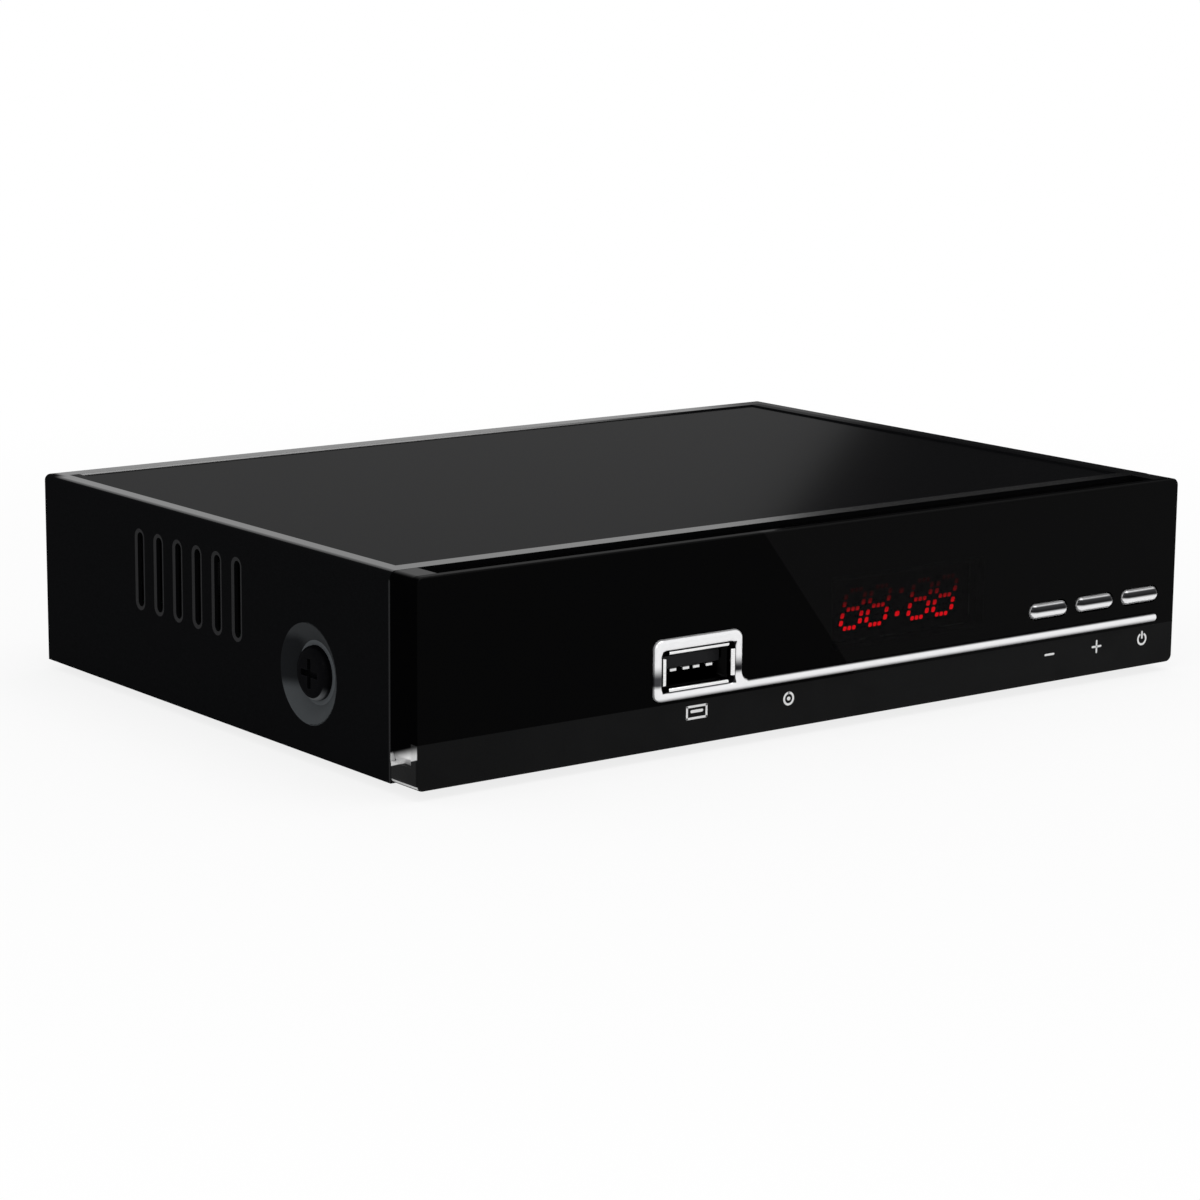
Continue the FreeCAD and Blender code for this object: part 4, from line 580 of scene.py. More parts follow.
def metal(name, colour, smooth, dull, across, contrast=0.2, painted_shade_inside=False):
    """A bare metal with drawn lines across the directions whose numbers are large. Its last option darkens
    the inside of the USB socket with painted shade.
    """
    tree, shader = finish(name, Metallic=1.0)
    drawn = use(tree, lines, across_x=across[0], across_y=across[1], across_z=across[2], contrast=contrast)
    roughness = handled(tree, 6, smooth, dull)
    rubbed_and_lit = use(tree, wear_and_highlight, radius=0.12 * MM, amount=0.5)
    bright = tuple(min(1.0, part * 1.25) for part in colour)
    body = blend(tree, rubbed_and_lit["Edge"], tint(tree, colour, drawn["Tone"]), bright)
    if painted_shade_inside:
        # Painted shade: the inside of the socket gets darker with depth.
        y = place(tree)[1]
        deep_shade = product(tree, step(tree, y, FRONT_Y - 3.5 * HAIR, FRONT_Y - HAIR), step(tree, y, 2 * MM, 0.0))
        body = blend(tree, deep_shade, body, grey(0.003))
    feed(tree, shader, Base_Color=body, Roughness=roughness)
    relief(tree, shader, drawn["Height"], 0.004 * MM)


metal("socket_steel", grey(0.85), 0.16, 0.26, (0.05, 1.0, 1.0), painted_shade_inside=True)
metal("zinc_screws", (0.62, 0.62, 0.60), 0.22, 0.35, (1.0, 0.1, 1.0))
metal("gilt", (0.86, 0.66, 0.32), 0.10, 0.2, (1.0, 0.1, 1.0))
metal("brass_plain", (0.72, 0.55, 0.25), 0.18, 0.3, (1.0, 1.0, 0.1))
metal("sink_aluminium", (0.62, 0.63, 0.65), 0.30, 0.42, (1.0, 0.04, 1.0))
metal("can_aluminium", (0.70, 0.70, 0.72), 0.22, 0.34, (1.0, 1.0, 0.05))
metal("tinned_steel", (0.68, 0.68, 0.67), 0.20, 0.38, (0.06, 1.0, 1.0), contrast=0.3)
metal("nickel", (0.70, 0.68, 0.64), 0.12, 0.24, (1.0, 0.08, 1.0), contrast=0.12)
print(len(finishes), "finishes so far")

# %% Blackened screws
OXIDE_SIZE = 0.5 * MM
GLEAM_R, GLEAM_SLANT = (HEAD_R - 5 * HAIR, HEAD_R - 2 * HAIR), 1.6

tree, shader = finish("blackened_screws", Specular_IOR_Level=0.0, Coat_Weight=0.02, Coat_Roughness=0.2)
x, y, z = place(tree)
leg_y, leg_z, from_screw = away(tree, y, DIMPLE_Y, z, DIMPLE_Z)
# Painted highlights on the head: the gleam is a painted glint, a bright arc near the rim, and its lighter
# edges are painted highlight as well.
slant = figure(tree, "SUBTRACT", leg_y, figure(tree, "MULTIPLY", leg_z, GLEAM_SLANT))
gleam = product(tree, spot(tree, from_screw, *GLEAM_R, 0.12 * MM),
                step(tree, slant, -1.5 * MM, 3.5 * MM), step(tree, y, 10 * MM, 0.0))
oxide = use(tree, grain, size=OXIDE_SIZE, contrast=0.4)
roughness = handled(tree, 2, 0.24, 0.38)
rubbed_and_lit = use(tree, wear_and_highlight, radius=0.2 * MM, amount=0.1)
black = tint(tree, (0.0028, 0.0028, 0.0034), oxide["Tone"])
colour = blend(tree, rubbed_and_lit["Edge"], black, (0.05, 0.05, 0.055))
colour = blend(tree, gleam, colour, (0.14, 0.145, 0.15))
feed(tree, shader, Base_Color=colour, Roughness=roughness)
relief(tree, shader, oxide["Height"], 0.01 * MM)
print("oxide grain", OXIDE_SIZE / MM, "mm")

# %% [markdown]
# ## Plastics, rubber and ceramics inside
#
# The parts behind the case are moulded, pressed or fired, and they differ in colour, in the grain of their
# mould and in how much they shine. One function makes them all from those three facts. It is called once
# for each kind, with the sizes that such a part really has: the mould grain of a chip package is a few
# hundredths of a millimetre deep, that of a rubber foot much coarser.

# %% Moulded finishes
def moulded(name, colour, smooth, dull, size=0.3, depth=0.01, contrast=0.2, edge=1.5, level=0.4):
    """A moulded, pressed or fired material: colour, sheen, grain size and depth in millimetres."""
    tree, shader = finish(name, Specular_IOR_Level=level)
    skin = use(tree, grain, size=size * MM, contrast=contrast)
    roughness = handled(tree, 9, smooth, dull)
    rubbed_and_lit = use(tree, wear_and_highlight, radius=0.15 * MM, amount=0.6)
    pale = tuple(min(1.0, part * edge + 0.01) for part in colour)
    body = blend(tree, rubbed_and_lit["Edge"], tint(tree, colour, skin["Tone"]), pale)
    feed(tree, shader, Base_Color=body, Roughness=roughness)
    relief(tree, shader, skin["Height"], depth * MM)


moulded("switch_black", (0.014, 0.014, 0.015), 0.35, 0.5)
moulded("tongue_grey", (0.012, 0.012, 0.0135), 0.4, 0.55, level=0.1)
moulded("display_dark", (0.0018, 0.0017, 0.0019), 0.35, 0.5, size=0.5, edge=1.0, level=0.0)
moulded("eye_dark", (0.012, 0.006, 0.010), 0.08, 0.16, size=3.0, depth=0.003)
moulded("plug_cream", (0.85, 0.82, 0.72), 0.35, 0.5)
moulded("chip_black", (0.022, 0.022, 0.024), 0.45, 0.6, size=0.12, depth=0.02, contrast=0.35)
moulded("small_tan", (0.50, 0.38, 0.24), 0.3, 0.5, size=0.2, contrast=0.3)
moulded("pad_blue", (0.35, 0.45, 0.60), 0.6, 0.8, size=0.5, depth=0.02)
moulded("coil_grey", (0.12, 0.12, 0.125), 0.5, 0.7, size=0.15, depth=0.03, contrast=0.4)
moulded("insulator_white", (0.80, 0.80, 0.77), 0.3, 0.4, edge=1.1)
moulded("core_yellow", (0.80, 0.56, 0.03), 0.22, 0.32, edge=1.1)
moulded("core_white", (0.80, 0.80, 0.77), 0.22, 0.32, edge=1.1)
moulded("core_red", (0.62, 0.03, 0.025), 0.22, 0.32, edge=1.2)
moulded("foot_rubber", grey(0.018), 0.7, 0.85, size=0.6, depth=0.04, contrast=0.3, level=0.25)
print(len(finishes), "finishes so far")

# %% Sleeved capacitors and the tips in the USB socket
tree, shader = finish("sleeved_can", Specular_IOR_Level=0.1)
bare = step(tree, facing(tree)[2], 0.85, 0.95)
skin = use(tree, grain, size=0.3 * MM, contrast=0.15)
drawn = use(tree, lines, across_y=1.0, across_z=0.05, fineness=5000.0)
roughness = handled(tree, 4, 0.25, 0.4)
sleeve = tint(tree, (0.003, 0.003, 0.004), skin["Tone"])
colour = blend(tree, bare, sleeve, tint(tree, (0.70, 0.70, 0.72), drawn["Tone"]))
feed(tree, shader, Base_Color=colour, Metallic=bare, Roughness=roughness)

contacts_low = box_of("usb_contacts")[0]
TIP_L, TIP_H = 0.9 * MM, 0.42 * MM
tree, shader = finish("contact_tin", Metallic=0.5)
x, y, z = place(tree)
drawn = use(tree, lines, across_y=0.1, contrast=0.15)
roughness = handled(tree, 4, 0.2, 0.3)
tip = product(tree, step(tree, y, contacts_low[1] + TIP_L, contacts_low[1] + TIP_L - 4 * HAIR),
              step(tree, z, contacts_low[2] + TIP_H, contacts_low[2] + TIP_H - 0.6 * HAIR))
colour = blend(tree, tip, grey(0.03), tint(tree, grey(0.9), drawn["Tone"]))
feed(tree, shader, Base_Color=colour, Roughness=roughness)
print(len(finishes), "finishes so far")

# %% [markdown]
# ## Ribbon and circuit board
#
# Both carry a pattern that runs along the part. The ribbon is a row of wires side by side, which is a
# cosine of x. A board shows its copper as slightly raised tracks under the green mask. Drawing each track
# would take hundreds of lines, so the board is divided into cells, each with its own direction, and fine
# parallel tracks are laid along it, with a round plated hole here and there. Round the display the board is
# printed black, so that it doesn't show through the window.

# %% Ribbon
WIRE_PITCH = 1.0 * MM

tree, shader = finish("ribbon_grey", Specular_IOR_Level=0.4)
wave = figure(tree, "COSINE", figure(tree, "MULTIPLY", place(tree)[0], 2 * np.pi / WIRE_PITCH))
wires = figure(tree, "MULTIPLY_ADD", wave, 0.5, 0.5)
skin = use(tree, grain, size=0.4 * MM, contrast=0.15)
roughness = handled(tree, 6, 0.4, 0.5)
colour = blend(tree, wires, (0.30, 0.30, 0.31), tint(tree, grey(0.55), skin["Tone"]))
feed(tree, shader, Base_Color=colour, Roughness=roughness)
relief(tree, shader, wires, 0.15 * MM)
print("wire pitch", WIRE_PITCH / MM, "mm")

# %% Circuit board
TRACK_PITCH = 0.9 * MM
DARK_HALF_W, DARK_BEHIND = 25 * MM, 13 * MM

tree, shader = finish("board_green", Specular_IOR_Level=0.5)
x, y, z = place(tree)
cells = node(tree, "TexVoronoi", {"Vector": object_point(tree), "Scale": 90.0}, distance="CHEBYCHEV")
choice = step(tree, parts(tree, cells.outputs["Color"])[0], 0.49, 0.51)
along = between(tree, choice, x, figure(tree, "ADD", y, z))
beat = figure(tree, "ABSOLUTE", figure(tree, "SINE", figure(tree, "MULTIPLY", along, np.pi / TRACK_PITCH)))
tracks = step(tree, beat, 0.55, 0.75)
holes = node(tree, "TexVoronoi", {"Vector": object_point(tree), "Scale": 260.0})
plated = step(tree, holes.outputs["Distance"], 0.14, 0.11)
weave = use(tree, grain, size=0.3 * MM, contrast=0.15)
roughness = handled(tree, 12, 0.22, 0.4)
covered = product(tree, spot(tree, x, DISPLAY_X - DARK_HALF_W, DISPLAY_X + DARK_HALF_W, MM),
                  step(tree, y, FRONT_Y + DARK_BEHIND, FRONT_Y + DARK_BEHIND - MM))
colour = tint(tree, (0.010, 0.085, 0.035), weave["Tone"])
for mask, other in ((tracks, (0.028, 0.160, 0.070)), (plated, (0.75, 0.60, 0.30)), (covered, grey(0.002))):
    colour = blend(tree, mask, colour, other)
feed(tree, shader, Base_Color=colour, Roughness=roughness,
     Metallic=product(tree, plated, inverse(tree, covered)))
relief(tree, shader, tracks, 0.03 * MM)
print("track pitch", TRACK_PITCH / MM, "mm")

# %% [markdown]
# ## Surfaces from grids
#
# Every new piece is a surface given by two numbers, one along it and one round it. The points are worked
# out as whole arrays, stored row by row, and the faces follow from the counts alone. Where a row closes to
# a point, the doubled points are merged, so that the end is closed.

# %% From a grid to a mesh


def grid_faces(rows, columns):
    """Quads of a grid whose last column joins its first: each joins two neighbours and the two above."""
    row, column = np.mgrid[0:rows - 1, 0:columns]
    here = row * columns + column
    beside = row * columns + (column + 1) % columns
    return np.stack([here, beside, beside + columns, here + columns], axis=-1).reshape(-1, 4)


def build(name, grids, material, body):
    """One piece from grids of the same counts, with its doubled points merged and all faces outwards."""
    count, rows, columns, _ = grids.shape
    faces = grid_faces(rows, columns)
    faces = (faces[None] + np.arange(count)[:, None, None] * rows * columns).reshape(-1, 4)
    mesh = bpy.data.meshes.new(name)
    mesh.from_pydata(grids.reshape(-1, 3).tolist(), [], faces.tolist())
    piece = bpy.data.objects.new(name, mesh)
    bpy.context.scene.collection.objects.link(piece)
    shape = bmesh.new()
    shape.from_mesh(mesh)
    bmesh.ops.remove_doubles(shape, verts=shape.verts, dist=1e-6)
    bmesh.ops.recalc_face_normals(shape, faces=shape.faces)
    shape.to_mesh(mesh)
    shape.free()
    mesh.materials.append(material)
    mesh.shade_smooth()
    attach(piece, body)
    low, high = grids.reshape(-1, 3).min(0), grids.reshape(-1, 3).max(0)
    print(name, len(mesh.polygons), "faces,", np.round((high - low) / MM, 2), "mm")
    return piece


def front_to_frame(across, up, out, y):
    """Points given across and up the front and out of it, as x, y and z in the frame."""
    return np.stack([across, y - out, up], axis=-1)


print("a grid of 3 by 4 has", len(grid_faces(3, 4)), "faces")

# %% [markdown]
# ## Display
#
# The display shows four digits with a colon, and each bar of a digit is a row of lit points: three in a
# lying bar, two in a standing one. The lower points are bright and the upper ones fade. They could be a
# pattern on flat bars, but then they would not catch light from the side. Each point is a small domed pad
# with rounded corners instead, leaned over like the digit. The light itself fades with height, which is one
# soft step.

# %% Lit points
DIGIT_W, DIGIT_H, LEAN = 4.6 * MM, 6.65 * MM, np.tan(np.radians(13.0))
DIGIT_XS = np.array([-9.825, -4.475, 4.475, 9.825]) * MM
BAR_W, PAD_T = 0.64 * MM, 0.2 * MM
PAD_L, PAD_PITCH = 0.60 * MM, 0.95 * MM
STAND_L, STAND_PITCH = 0.82 * MM, 1.18 * MM
COLON_RISE, COLON_SIZE = 1.85 * MM, 0.80 * MM
LIT_TOP, LIT_FOOT, FADE_POWER = DISPLAY_Z + 3.3 * MM, DISPLAY_Z - 2.6 * MM, 1.9

half_w, half_h = (DIGIT_W - BAR_W) / 2, (DIGIT_H - BAR_W) / 2
lying = [(shift * PAD_PITCH, level * half_h, PAD_L, BAR_W) for level in (-1, 0, 1) for shift in (-1, 0, 1)]
standing = [(side * half_w, level * half_h + shift * STAND_PITCH, BAR_W, STAND_L)
            for side in (-1, 1) for level in (-0.5, 0.5) for shift in (-0.5, 0.5)]
one_digit = np.array(lying + standing)
digits = np.concatenate([one_digit + np.array([x0, 0, 0, 0]) for x0 in DIGIT_XS])
colon = np.array([(0, side * COLON_RISE, COLON_SIZE, COLON_SIZE) for side in (-1, 1)])


def domed_pads(pads, y, columns=16):
    """Pads with rounded corners: a superellipse of power 4 round, closed behind, domed in front.

    The six rows go out from the middle of the back to the rim, up it, and in over the dome to its top.
    """
    turn = np.linspace(0, 2 * np.pi, columns, endpoint=False)
    round_x = np.sign(np.cos(turn)) * np.sqrt(np.abs(np.cos(turn)))
    round_z = np.sign(np.sin(turn)) * np.sqrt(np.abs(np.sin(turn)))
    reach = np.array([0.0, 1.0, 1.0, 0.92, 0.6, 0.0])[None, :, None]
    rise = np.array([0.0, 0.0, 0.55, 0.85, 1.0, 1.0])[None, :, None] * PAD_T
    centre_x, centre_z, width, height = pads.T[:, :, None, None]
    up = centre_z + height / 2 * reach * round_z
    across = centre_x + width / 2 * reach * round_x + up * LEAN
    return front_to_frame(DISPLAY_X + across, DISPLAY_Z + up, np.broadcast_to(rise, across.shape), y)


tree, shader = finish("display_red", Specular_IOR_Level=0.0, Emission_Strength=2.2)
skin = use(tree, grain, size=0.3 * MM, contrast=0.3)
roughness = handled(tree, 2, 0.3, 0.5)
lit = figure(tree, "POWER", step(tree, place(tree)[2], LIT_TOP, LIT_FOOT), FADE_POWER)
glow = blend(tree, lit, (0.010, 0.0, 0.0001), (0.85, 0.002, 0.008))
feed(tree, shader, Base_Color=tint(tree, (0.004, 0.001, 0.001), skin["Tone"]),
     Emission_Color=tint(tree, glow, skin["Tone"]), Roughness=roughness)
pads = domed_pads(np.concatenate([digits, colon]), box_of("display_segments")[1][1])
points = build("display_points", pads, finishes["display_red"], "receiver")
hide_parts("display_segments")

# %% [markdown]
# ## Printed signs
#
# Plain signs are pad-printed on the chin in white ink: a socket outline, a ring for the remote control eye,
# a minus and a plus for the channel, and the usual broken ring with a bar for power. Ink stands a few
# hundredths of a millimetre proud. Each sign is a set of strokes, and a stroke is a flat ridge carried
# along a line whose width closes as a half circle at both ends.

# %% Strokes of ink
INK_T, INK_SUNK = 0.035 * MM, 0.02 * MM
STATIONS, CAP_STATIONS = 40, 7


def along_line(points):
    """Points at equal steps along a broken line."""
    points = np.asarray(points, float)
    lengths = np.concatenate([[0], np.cumsum(np.linalg.norm(np.diff(points, axis=0), axis=1))])
    at = np.linspace(0, lengths[-1], STATIONS)
    return np.stack([np.interp(at, lengths, points[:, part]) for part in (0, 1)], axis=-1)


def stroke(points, width):
    """A ridge along a line: the profile's half width follows a half circle at each end."""
    line = along_line(points)
    ahead = np.gradient(line, axis=0)
    ahead /= np.linalg.norm(ahead, axis=1)[:, None]
    cap = np.linspace(np.pi / 2, 0, CAP_STATIONS, endpoint=False)
    first = line[0] - ahead[0] * width / 2 * np.sin(cap)[:, None]
    last = (line[-1] + ahead[-1] * width / 2 * np.sin(cap)[:, None])[::-1]
    middle = np.concatenate([first, line, last])
    ahead = np.pad(ahead, ((CAP_STATIONS, CAP_STATIONS), (0, 0)), mode="edge")
    half = np.concatenate([np.cos(cap), np.ones(STATIONS), np.cos(cap)[::-1]]) * width / 2
    side = np.stack([-ahead[:, 1], ahead[:, 0]], axis=-1)
    profile_u = np.array([-1.0, -1.0, -0.86, 0.86, 1.0, 1.0])
    profile_out = np.array([-INK_SUNK, INK_T * 0.6, INK_T, INK_T, INK_T * 0.6, -INK_SUNK])
    flat = middle[:, None, :] + side[:, None, :] * (half[:, None] * profile_u)[:, :, None]
    out = np.broadcast_to(profile_out, flat.shape[:2])
    return front_to_frame(flat[..., 0], flat[..., 1], out, FRONT_Y)


def arc(x0, z0, radius, start, end):
    """Points on a circle from one angle to another, in degrees from straight up."""
    turn = np.radians(np.linspace(start, end, STATIONS))
    return np.stack([x0 + radius * np.sin(turn), z0 + radius * np.cos(turn)], axis=-1)


def bar(x0, z0, half_w, half_h):
    """The two ends of a straight stroke about a middle."""
    return [(x0 - half_w, z0 - half_h), (x0 + half_w, z0 + half_h)]


SIGN_Z, USB_SIGN_Z, INK_W = 6.22 * MM, 6.58 * MM, 0.36 * MM
ARM, RING_R, DOT_W, POWER_GAP = 0.95 * MM, 0.92 * MM, 0.6 * MM, 35
EYE_X = middle_of("remote_eye")[0]
MINUS_X = middle_of("key_channel_down")[0] + 0.6 * MM
PLUS_X = middle_of("key_channel_up")[0] + 0.9 * MM
POWER_X = middle_of("key_power")[0] + MM
OUTLINE_HALF = (1.9 * MM, 0.92 * MM)

outline = np.array([(-1, -1), (1, -1), (1, 1), (-1, 1), (-1, -1)]) * OUTLINE_HALF + (USB_X, USB_SIGN_Z)
strokes = [stroke(side, INK_W) for side in zip(outline, outline[1:])] + [
    stroke(bar(USB_X, USB_SIGN_Z + 0.14 * MM, MM, 0), INK_W * 1.3),
    stroke(arc(EYE_X, SIGN_Z, RING_R, 0, 358), INK_W),
    stroke(bar(EYE_X, SIGN_Z, 0.05 * MM, 0), DOT_W),
    stroke(bar(MINUS_X, SIGN_Z, ARM, 0), INK_W),
    stroke(bar(PLUS_X, SIGN_Z, ARM, 0), INK_W),
    stroke(bar(PLUS_X, SIGN_Z, 0, ARM), INK_W),
    stroke(arc(POWER_X, SIGN_Z, RING_R, POWER_GAP, 360 - POWER_GAP), INK_W),
    stroke(bar(POWER_X, SIGN_Z + 0.7 * MM, 0, 0.5 * MM), INK_W),
]
tree, shader = finish("sign_ink", Specular_IOR_Level=0.3)
ink = use(tree, grain, size=0.25 * MM, contrast=0.12)
roughness = handled(tree, 2, 0.4, 0.55)
feed(tree, shader, Base_Color=tint(tree, grey(0.86), ink["Tone"]), Roughness=roughness)
relief(tree, shader, ink["Height"], 0.004 * MM)
build("printed_signs", np.stack(strokes), finishes["sign_ink"], "receiver")

# %% [markdown]
# ## Mouth of the USB socket
#
# The shell of a USB socket is folded from thin sheet, and four lips at its mouth turn outwards, so that
# they guide the plug. Bevelled blocks would be quicker, but a fold has the same wall all along. So each lip
# is a line that runs forwards and turns outwards by a quarter circle, thickened by half the wall to both
# sides. The tube behind the lips is a rounded rectangle carried back and closed.

# %% Folded lips
WALL, LIP_L, FOLD_R, NOTCH, TUBE_R = 0.3 * MM, 1.2 * MM, 0.25 * MM, 0.9 * MM, 0.35 * MM
SIDE_FOLD, TOP_FOLD = 0.75 * MM, 0.55 * MM
usb_low, usb_high = box_of("usb_shell")
MOUTH_Y = box_of("chrome_trim")[0][1] + HAIR
inner_w, inner_h = (usb_high - usb_low)[[0, 2]] / 2 - (SIDE_FOLD, TOP_FOLD)


def folded_lip(quarters, inner, fold, half_l):
    """A centre line, straight and then a quarter circle, with half the wall to each side of it.

    The wall shrinks as the cosine of an angle while the line goes on by its sine, at the tip and at both
    ends, so all three free edges are half round. The lip is then turned by quarters of a circle round the
    socket.
    """
    tip = np.radians((0, 30, 60, 75, 90))
    bend = np.radians((0, 0, 18, 36, 54, 72, 90) + (90,) * len(tip))
    line = len(bend) - len(tip)
    forward = -WALL / 2 - FOLD_R * (1 - np.sin(bend))
    forward[0] = -LIP_L
    reach = fold - WALL - FOLD_R + WALL / 2 * np.sin(tip)
    out = inner + WALL / 2 + FOLD_R * (1 - np.cos(bend)) + np.concatenate([np.zeros(line), reach])
    half = WALL / 2 * np.concatenate([np.ones(line), np.cos(tip)])
    end = np.radians((90, 60, 30, 0))
    along = half_l - WALL / 2 + WALL / 2 * np.sin(end)
    along, thin = np.concatenate([along, -along[::-1]]), np.concatenate([np.cos(end), np.cos(end)[::-1]])
    to_side = thin[:, None] * np.concatenate([half, -half[::-1]])
    bend, forward, out = (np.concatenate([value, value[::-1]]) for value in (bend, forward, out))
    forward = forward - to_side * np.sin(bend)
    out = out + to_side * np.cos(bend)
    along = np.broadcast_to(along[:, None], out.shape)
    turn = quarters * np.pi / 2
    across, up = along * np.cos(turn) + out * np.sin(turn), out * np.cos(turn) - along * np.sin(turn)
    return front_to_frame(USB_X + across, USB_Z + up, forward, MOUTH_Y)


def closed_tube(front, back, steps=6):
    """A rounded rectangle carried along the socket: up the inside, over the rim and back outside."""
    grown = np.array((0, 0, 0, 0, 1, 1, 1, 1))[:, None] * WALL
    kept = np.array((0, 1, 1, 1, 1, 1, 1, 0))[:, None]
    middle = (front + back) / 2
    y = np.array((back - WALL, back - WALL, middle, front, front, middle, back, back))[:, None]
    turn = (np.arange(4)[:, None] * np.pi / 2 + np.linspace(0, np.pi / 2, steps)).ravel()
    side_x, side_z = np.repeat((1, -1, -1, 1), steps), np.repeat((1, 1, -1, -1), steps)
    radius = TUBE_R + grown
    across = kept * (side_x * (inner_w + grown - radius) + radius * np.cos(turn))
    up = kept * (side_z * (inner_h + grown - radius) + radius * np.sin(turn))
    return np.stack([USB_X + across, np.broadcast_to(y, across.shape), USB_Z + up], axis=-1)


lying = (inner_h, TOP_FOLD, inner_w - NOTCH / 2)
upright = (inner_w, SIDE_FOLD, inner_h - NOTCH / 2)
lips = [folded_lip(quarters, *(upright if quarters % 2 else lying)) for quarters in range(4)]
tube = closed_tube(MOUTH_Y + LIP_L, usb_high[1])
mouth = build("usb_mouth", np.stack([tube] + lips), finishes["socket_steel"], "receiver")
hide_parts("usb_shell")

# %% [markdown]
# ## Aerial thread
#
# The aerial socket carries a 3/8 inch thread with 32 turns to the inch. On a turned solid it is only a
# smooth barrel. A thread is a barrel whose radius depends on the angle as well as on the height: it goes up
# and down once for each pitch, and the whole pattern moves on by one pitch in a turn. That is one formula
# on a grid, and the thread fades out at both ends as a die leaves it. The same grid goes on over the tip
# and down the bore.

# %% Threaded barrel
PITCH, THREAD_DEPTH, CUT_SHARE = 25.4 * MM / 32, 0.42 * MM, 2.6
BORE_R, BORE_L, CHAMFER, GROOVE_R, GROOVE_L = 3.2 * MM, 7.0 * MM, 0.5 * MM, 4.2 * MM, 0.6 * MM
COLUMNS, THREAD_ROWS = 96, 150
AERIAL_X, _, AERIAL_Z = middle_of("aerial_barrel")
(barrel_x, BARREL_BACK, _), (_, TIP_Y, _) = box_of("aerial_barrel")
BARREL_R = AERIAL_X - barrel_x
nut_y = box_of("aerial_nut")[1][1]

thread_start, thread_end = nut_y + GROOVE_L, TIP_Y - CHAMFER
thread_ys = np.linspace(thread_start, thread_end, THREAD_ROWS)
below = [(BARREL_BACK, 0), (BARREL_BACK, BARREL_R), (nut_y, BARREL_R), (nut_y, GROOVE_R),
         (thread_start, GROOVE_R)]
above = [(TIP_Y, BARREL_R - CHAMFER), (TIP_Y, BORE_R), (TIP_Y - BORE_L, BORE_R), (TIP_Y - BORE_L, 0)]
on_thread = np.stack([thread_ys, np.full(THREAD_ROWS, BARREL_R)], axis=-1)
ys, rs = np.concatenate([below, on_thread, above]).T[:, :, None]
turn = np.linspace(0, 2 * np.pi, COLUMNS, endpoint=False)
phase = (ys / PITCH - turn / (2 * np.pi)) % 1.0
tooth = np.clip(np.abs(phase - 0.5) * CUT_SHARE - 0.15, 0, 1)
fade = np.clip((ys - thread_start) / (0.5 * PITCH), 0, 1) * np.clip((thread_end - ys) / (0.4 * PITCH), 0, 1)
radius = rs - THREAD_DEPTH * tooth * fade * (rs == BARREL_R)
barrel = np.stack([
    AERIAL_X + radius * np.cos(turn), np.broadcast_to(ys, radius.shape),
    AERIAL_Z + radius * np.sin(turn)], axis=-1)
thread = build("aerial_thread", barrel[None], finishes["nickel"], "receiver")
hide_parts("aerial_barrel")
print("thread pitch", round(PITCH / MM, 3), "mm")

# %% [markdown]
# ## Putting the finishes on
#
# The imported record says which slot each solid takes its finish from, so nothing is listed twice. Three
# solids differ from their slots: the front plate has the window, the capacitors wear a black sleeve, and
# the tips of the USB contacts are dark below.

# %% Finishes onto the solids
OWN = {"front_lens": "gloss_plate", "capacitors": "sleeved_can", "usb_contacts": "contact_tin"}
for part in frame["record"]["subparts"]:
    name = part["node"]
    frame["nodes"][name].material_slots[0].material = finishes[OWN.get(name, part["material_slot"])]
print(len(frame["nodes"]), "solids dressed in", len(finishes), "finishes")

# %% [markdown]
# ## Studio
#
# Black gloss and chromium show the room more than themselves. The room is plain: a white floor that keeps a
# soft shadow, an even white surround, one large soft lamp overhead and a small one on the left. One dark
# grey card behind is seen by reflections only: it darkens the right end of the lid.

# %% Floor
def sheet(name, corners, material):
    """A flat four-cornered piece of the studio."""
    mesh = bpy.data.meshes.new(name)
    mesh.from_pydata(corners, [], [(0, 1, 2, 3)])
    mesh.materials.append(material)
    piece = bpy.data.objects.new(name, mesh)
    bpy.context.scene.collection.objects.link(piece)
    return piece


def empty_tree(owner):
    """The node tree of a material or a world, with nothing in it."""
    owner.use_nodes = True
    owner.node_tree.nodes.clear()
    return owner.node_tree


def seen_rays(tree):
    """1 for rays that look at the studio, straight or by a reflection, and 0 for those that only light."""
    rays = node(tree, "LightPath").outputs
    return figure(tree, "MAXIMUM", rays["Is Camera Ray"],
                  figure(tree, "MAXIMUM", rays["Is Glossy Ray"], rays["Is Transmission Ray"]))


FLOOR_HALF, NEAR, FAR, NEAR_WHITE = 4.0, 0.10, 0.32, 0.82
paper = bpy.data.materials.new("floor_paper")
tree = empty_tree(paper)
distance = node(tree, "VectorMath", {0: object_point(tree)}, operation="LENGTH").outputs["Value"]
whiteness = between(tree, step(tree, distance, NEAR, FAR), NEAR_WHITE, 1.0)
white = node(tree, "Emission", {"Color": (1, 1, 1, 1), "Strength": 1.0}).outputs[0]
matt = node(tree, "BsdfDiffuse", {"Color": (0.95, 0.95, 0.95, 1)}).outputs[0]
surface = node(tree, "MixShader", {0: product(tree, seen_rays(tree), whiteness), 1: matt, 2: white})
node(tree, "OutputMaterial", {"Surface": surface.outputs[0]})
square = ((-1, -1), (1, -1), (1, 1), (-1, 1))
sheet("floor", [(FLOOR_HALF * right, FLOOR_HALF * back, 0) for right, back in square], paper)
print("floor", 2 * FLOOR_HALF, "m wide")

# %% Dark card
CARD_AWAY, CARD_GREY = 1.6, 0.065
LID_CARD = ((45.65, 4.0), (82.0, 4.0), (82.0, 24.0), (31.2, 24.0))
card_paper = bpy.data.materials.new("card_paper")
tree = empty_tree(card_paper)
card_shader = node(tree, "Emission", {"Color": (1, 1, 1, 1), "Strength": CARD_GREY})
node(tree, "OutputMaterial", {"Surface": card_shader.outputs[0]})


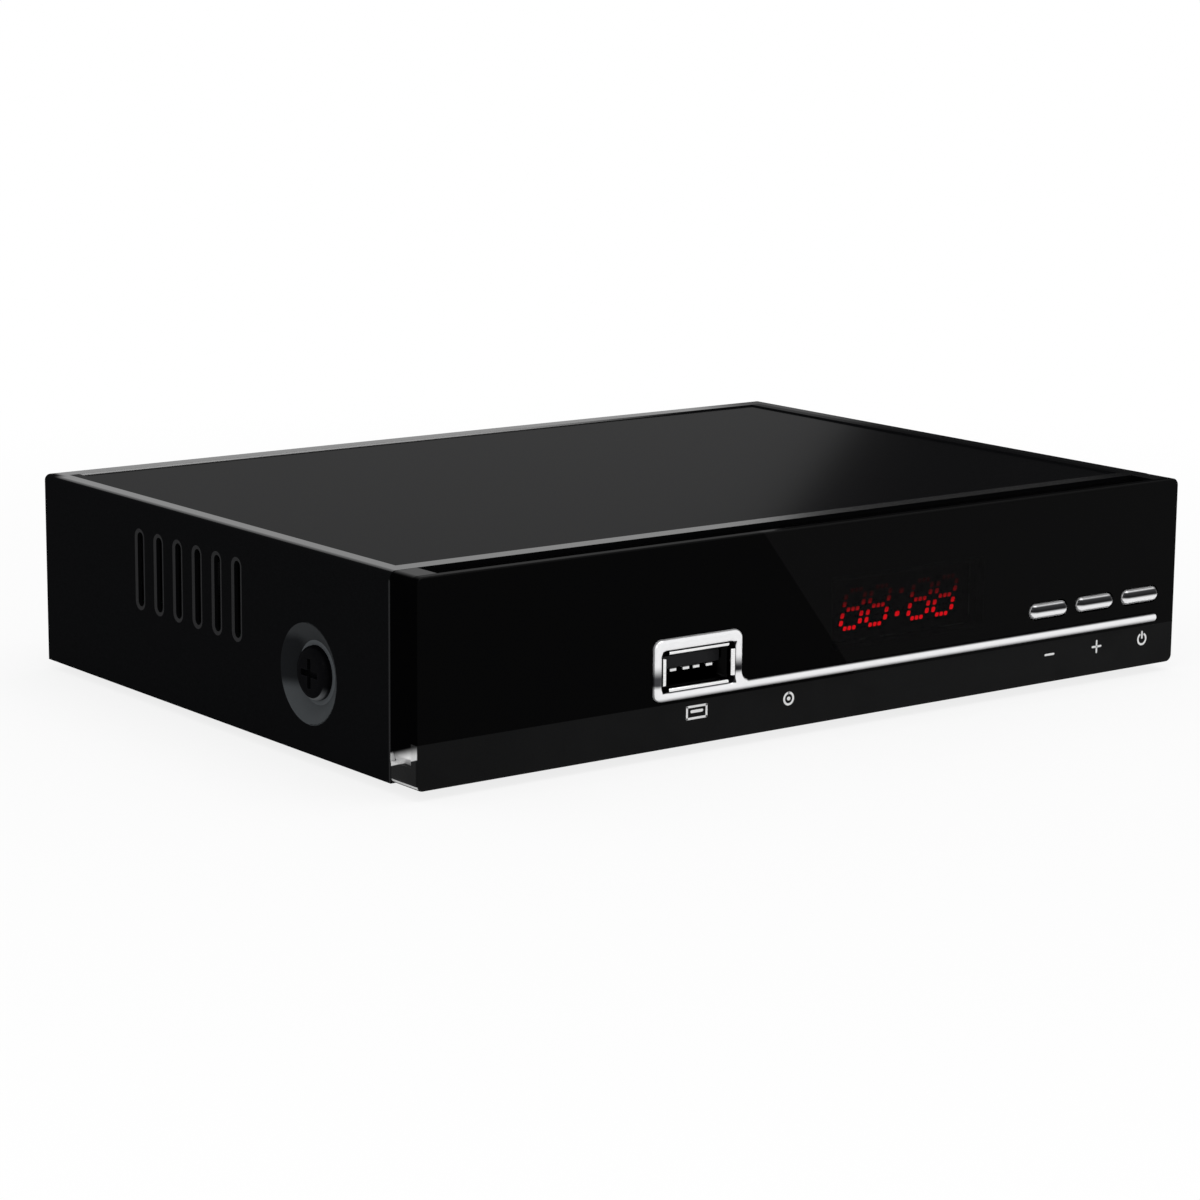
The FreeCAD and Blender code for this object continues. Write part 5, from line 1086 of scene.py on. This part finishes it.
def over_lid(azimuth, elevation):
    """A point seen from the lid's middle at an azimuth from +Y towards +X and an elevation, in degrees."""
    turn, rise = np.radians((azimuth, elevation))
    return (CARD_AWAY * np.sin(turn), CARD_AWAY * np.cos(turn), TOP_Z + CARD_AWAY * np.tan(rise))


card = sheet("card_behind", [over_lid(*angles) for angles in LID_CARD], card_paper)
card.visible_camera = card.visible_diffuse = card.visible_shadow = False
print("card corners at azimuth and elevation", LID_CARD)

# %% Light
SURROUND_LIGHT = 0.6
world = bpy.data.worlds.new("studio")
bpy.context.scene.world = world
tree = empty_tree(world)
strength = between(tree, seen_rays(tree), SURROUND_LIGHT, 1.0)
surround = node(tree, "Background", {"Color": (1, 1, 1, 1), "Strength": strength})
node(tree, "OutputWorld", {"Surface": surround.outputs[0]})


def stand(name, data, right, up, back, position):
    """A lamp or camera at a position, with its own x, y and z along three directions."""
    holder = bpy.data.objects.new(name, data)
    columns = np.column_stack([right, up, back, position])
    holder.matrix_world = Matrix(np.vstack([columns, [0, 0, 0, 1]]).tolist())
    bpy.context.scene.collection.objects.link(holder)
    return holder


def lamp(name, position, target, width, height, power):
    """A soft rectangular lamp at a position, turned towards a target."""
    light = bpy.data.lights.new(name, "AREA")
    light.shape, light.size, light.size_y, light.energy = "RECTANGLE", width, height, power
    back = np.array(position, float) - np.array(target, float)
    back /= np.linalg.norm(back)
    side = np.cross((0.0, 1.0, 0.0), back)
    side /= np.linalg.norm(side)
    stand(name, light, side, np.cross(back, side), back, position)


lamp("lamp_overhead", (0.15, -0.25, 1.3), (0.0, 0.0, 0.0), 1.2, 1.0, 6.0)
lamp("lamp_left", (-0.9, -0.5, 0.7), (0.0, 0.0, 0.02), 0.6, 0.6, 1.6)
print(len(bpy.data.lights), "lamps")

# %% [markdown]
# ## Camera
#
# The camera looks at the left front corner from a little above. Its place is given by an azimuth, an
# elevation and a distance from a point in the middle of the case, and by a small roll. From those four
# numbers follow the three directions that make its matrix. Turning it round the case is then a change of
# one number.

# %% Camera
AZIMUTH, ELEVATION, ROLL = np.radians((37.24, 11.40, 0.5))
DISTANCE, SHIFT_RIGHT, SHIFT_UP = 589.36 * MM, 2.23 * MM, 5.10 * MM
LENS_MM, SENSOR_MM = 105.0, 36.0
AIM = np.array((0.0, -5.0, 17.0)) * MM
level_ahead = np.array((np.sin(AZIMUTH), np.cos(AZIMUTH), 0.0))
ahead = level_ahead * np.cos(ELEVATION) - np.array((0.0, 0.0, np.sin(ELEVATION)))
right = np.array((np.cos(AZIMUTH), -np.sin(AZIMUTH), 0.0))
up = np.cross(right, ahead)
position = AIM - ahead * DISTANCE - right * SHIFT_RIGHT - up * SHIFT_UP
lens = bpy.data.cameras.new("camera")
lens.lens, lens.sensor_width = LENS_MM, SENSOR_MM
rolled_right = np.cos(ROLL) * right + np.sin(ROLL) * up
rolled_up = -np.sin(ROLL) * right + np.cos(ROLL) * up
bpy.context.scene.camera = stand("camera", lens, rolled_right, rolled_up, -ahead, position)
bpy.context.scene.view_settings.view_transform = "Standard"
print("camera at", np.round(position, 3), "m, lens", LENS_MM, "mm")
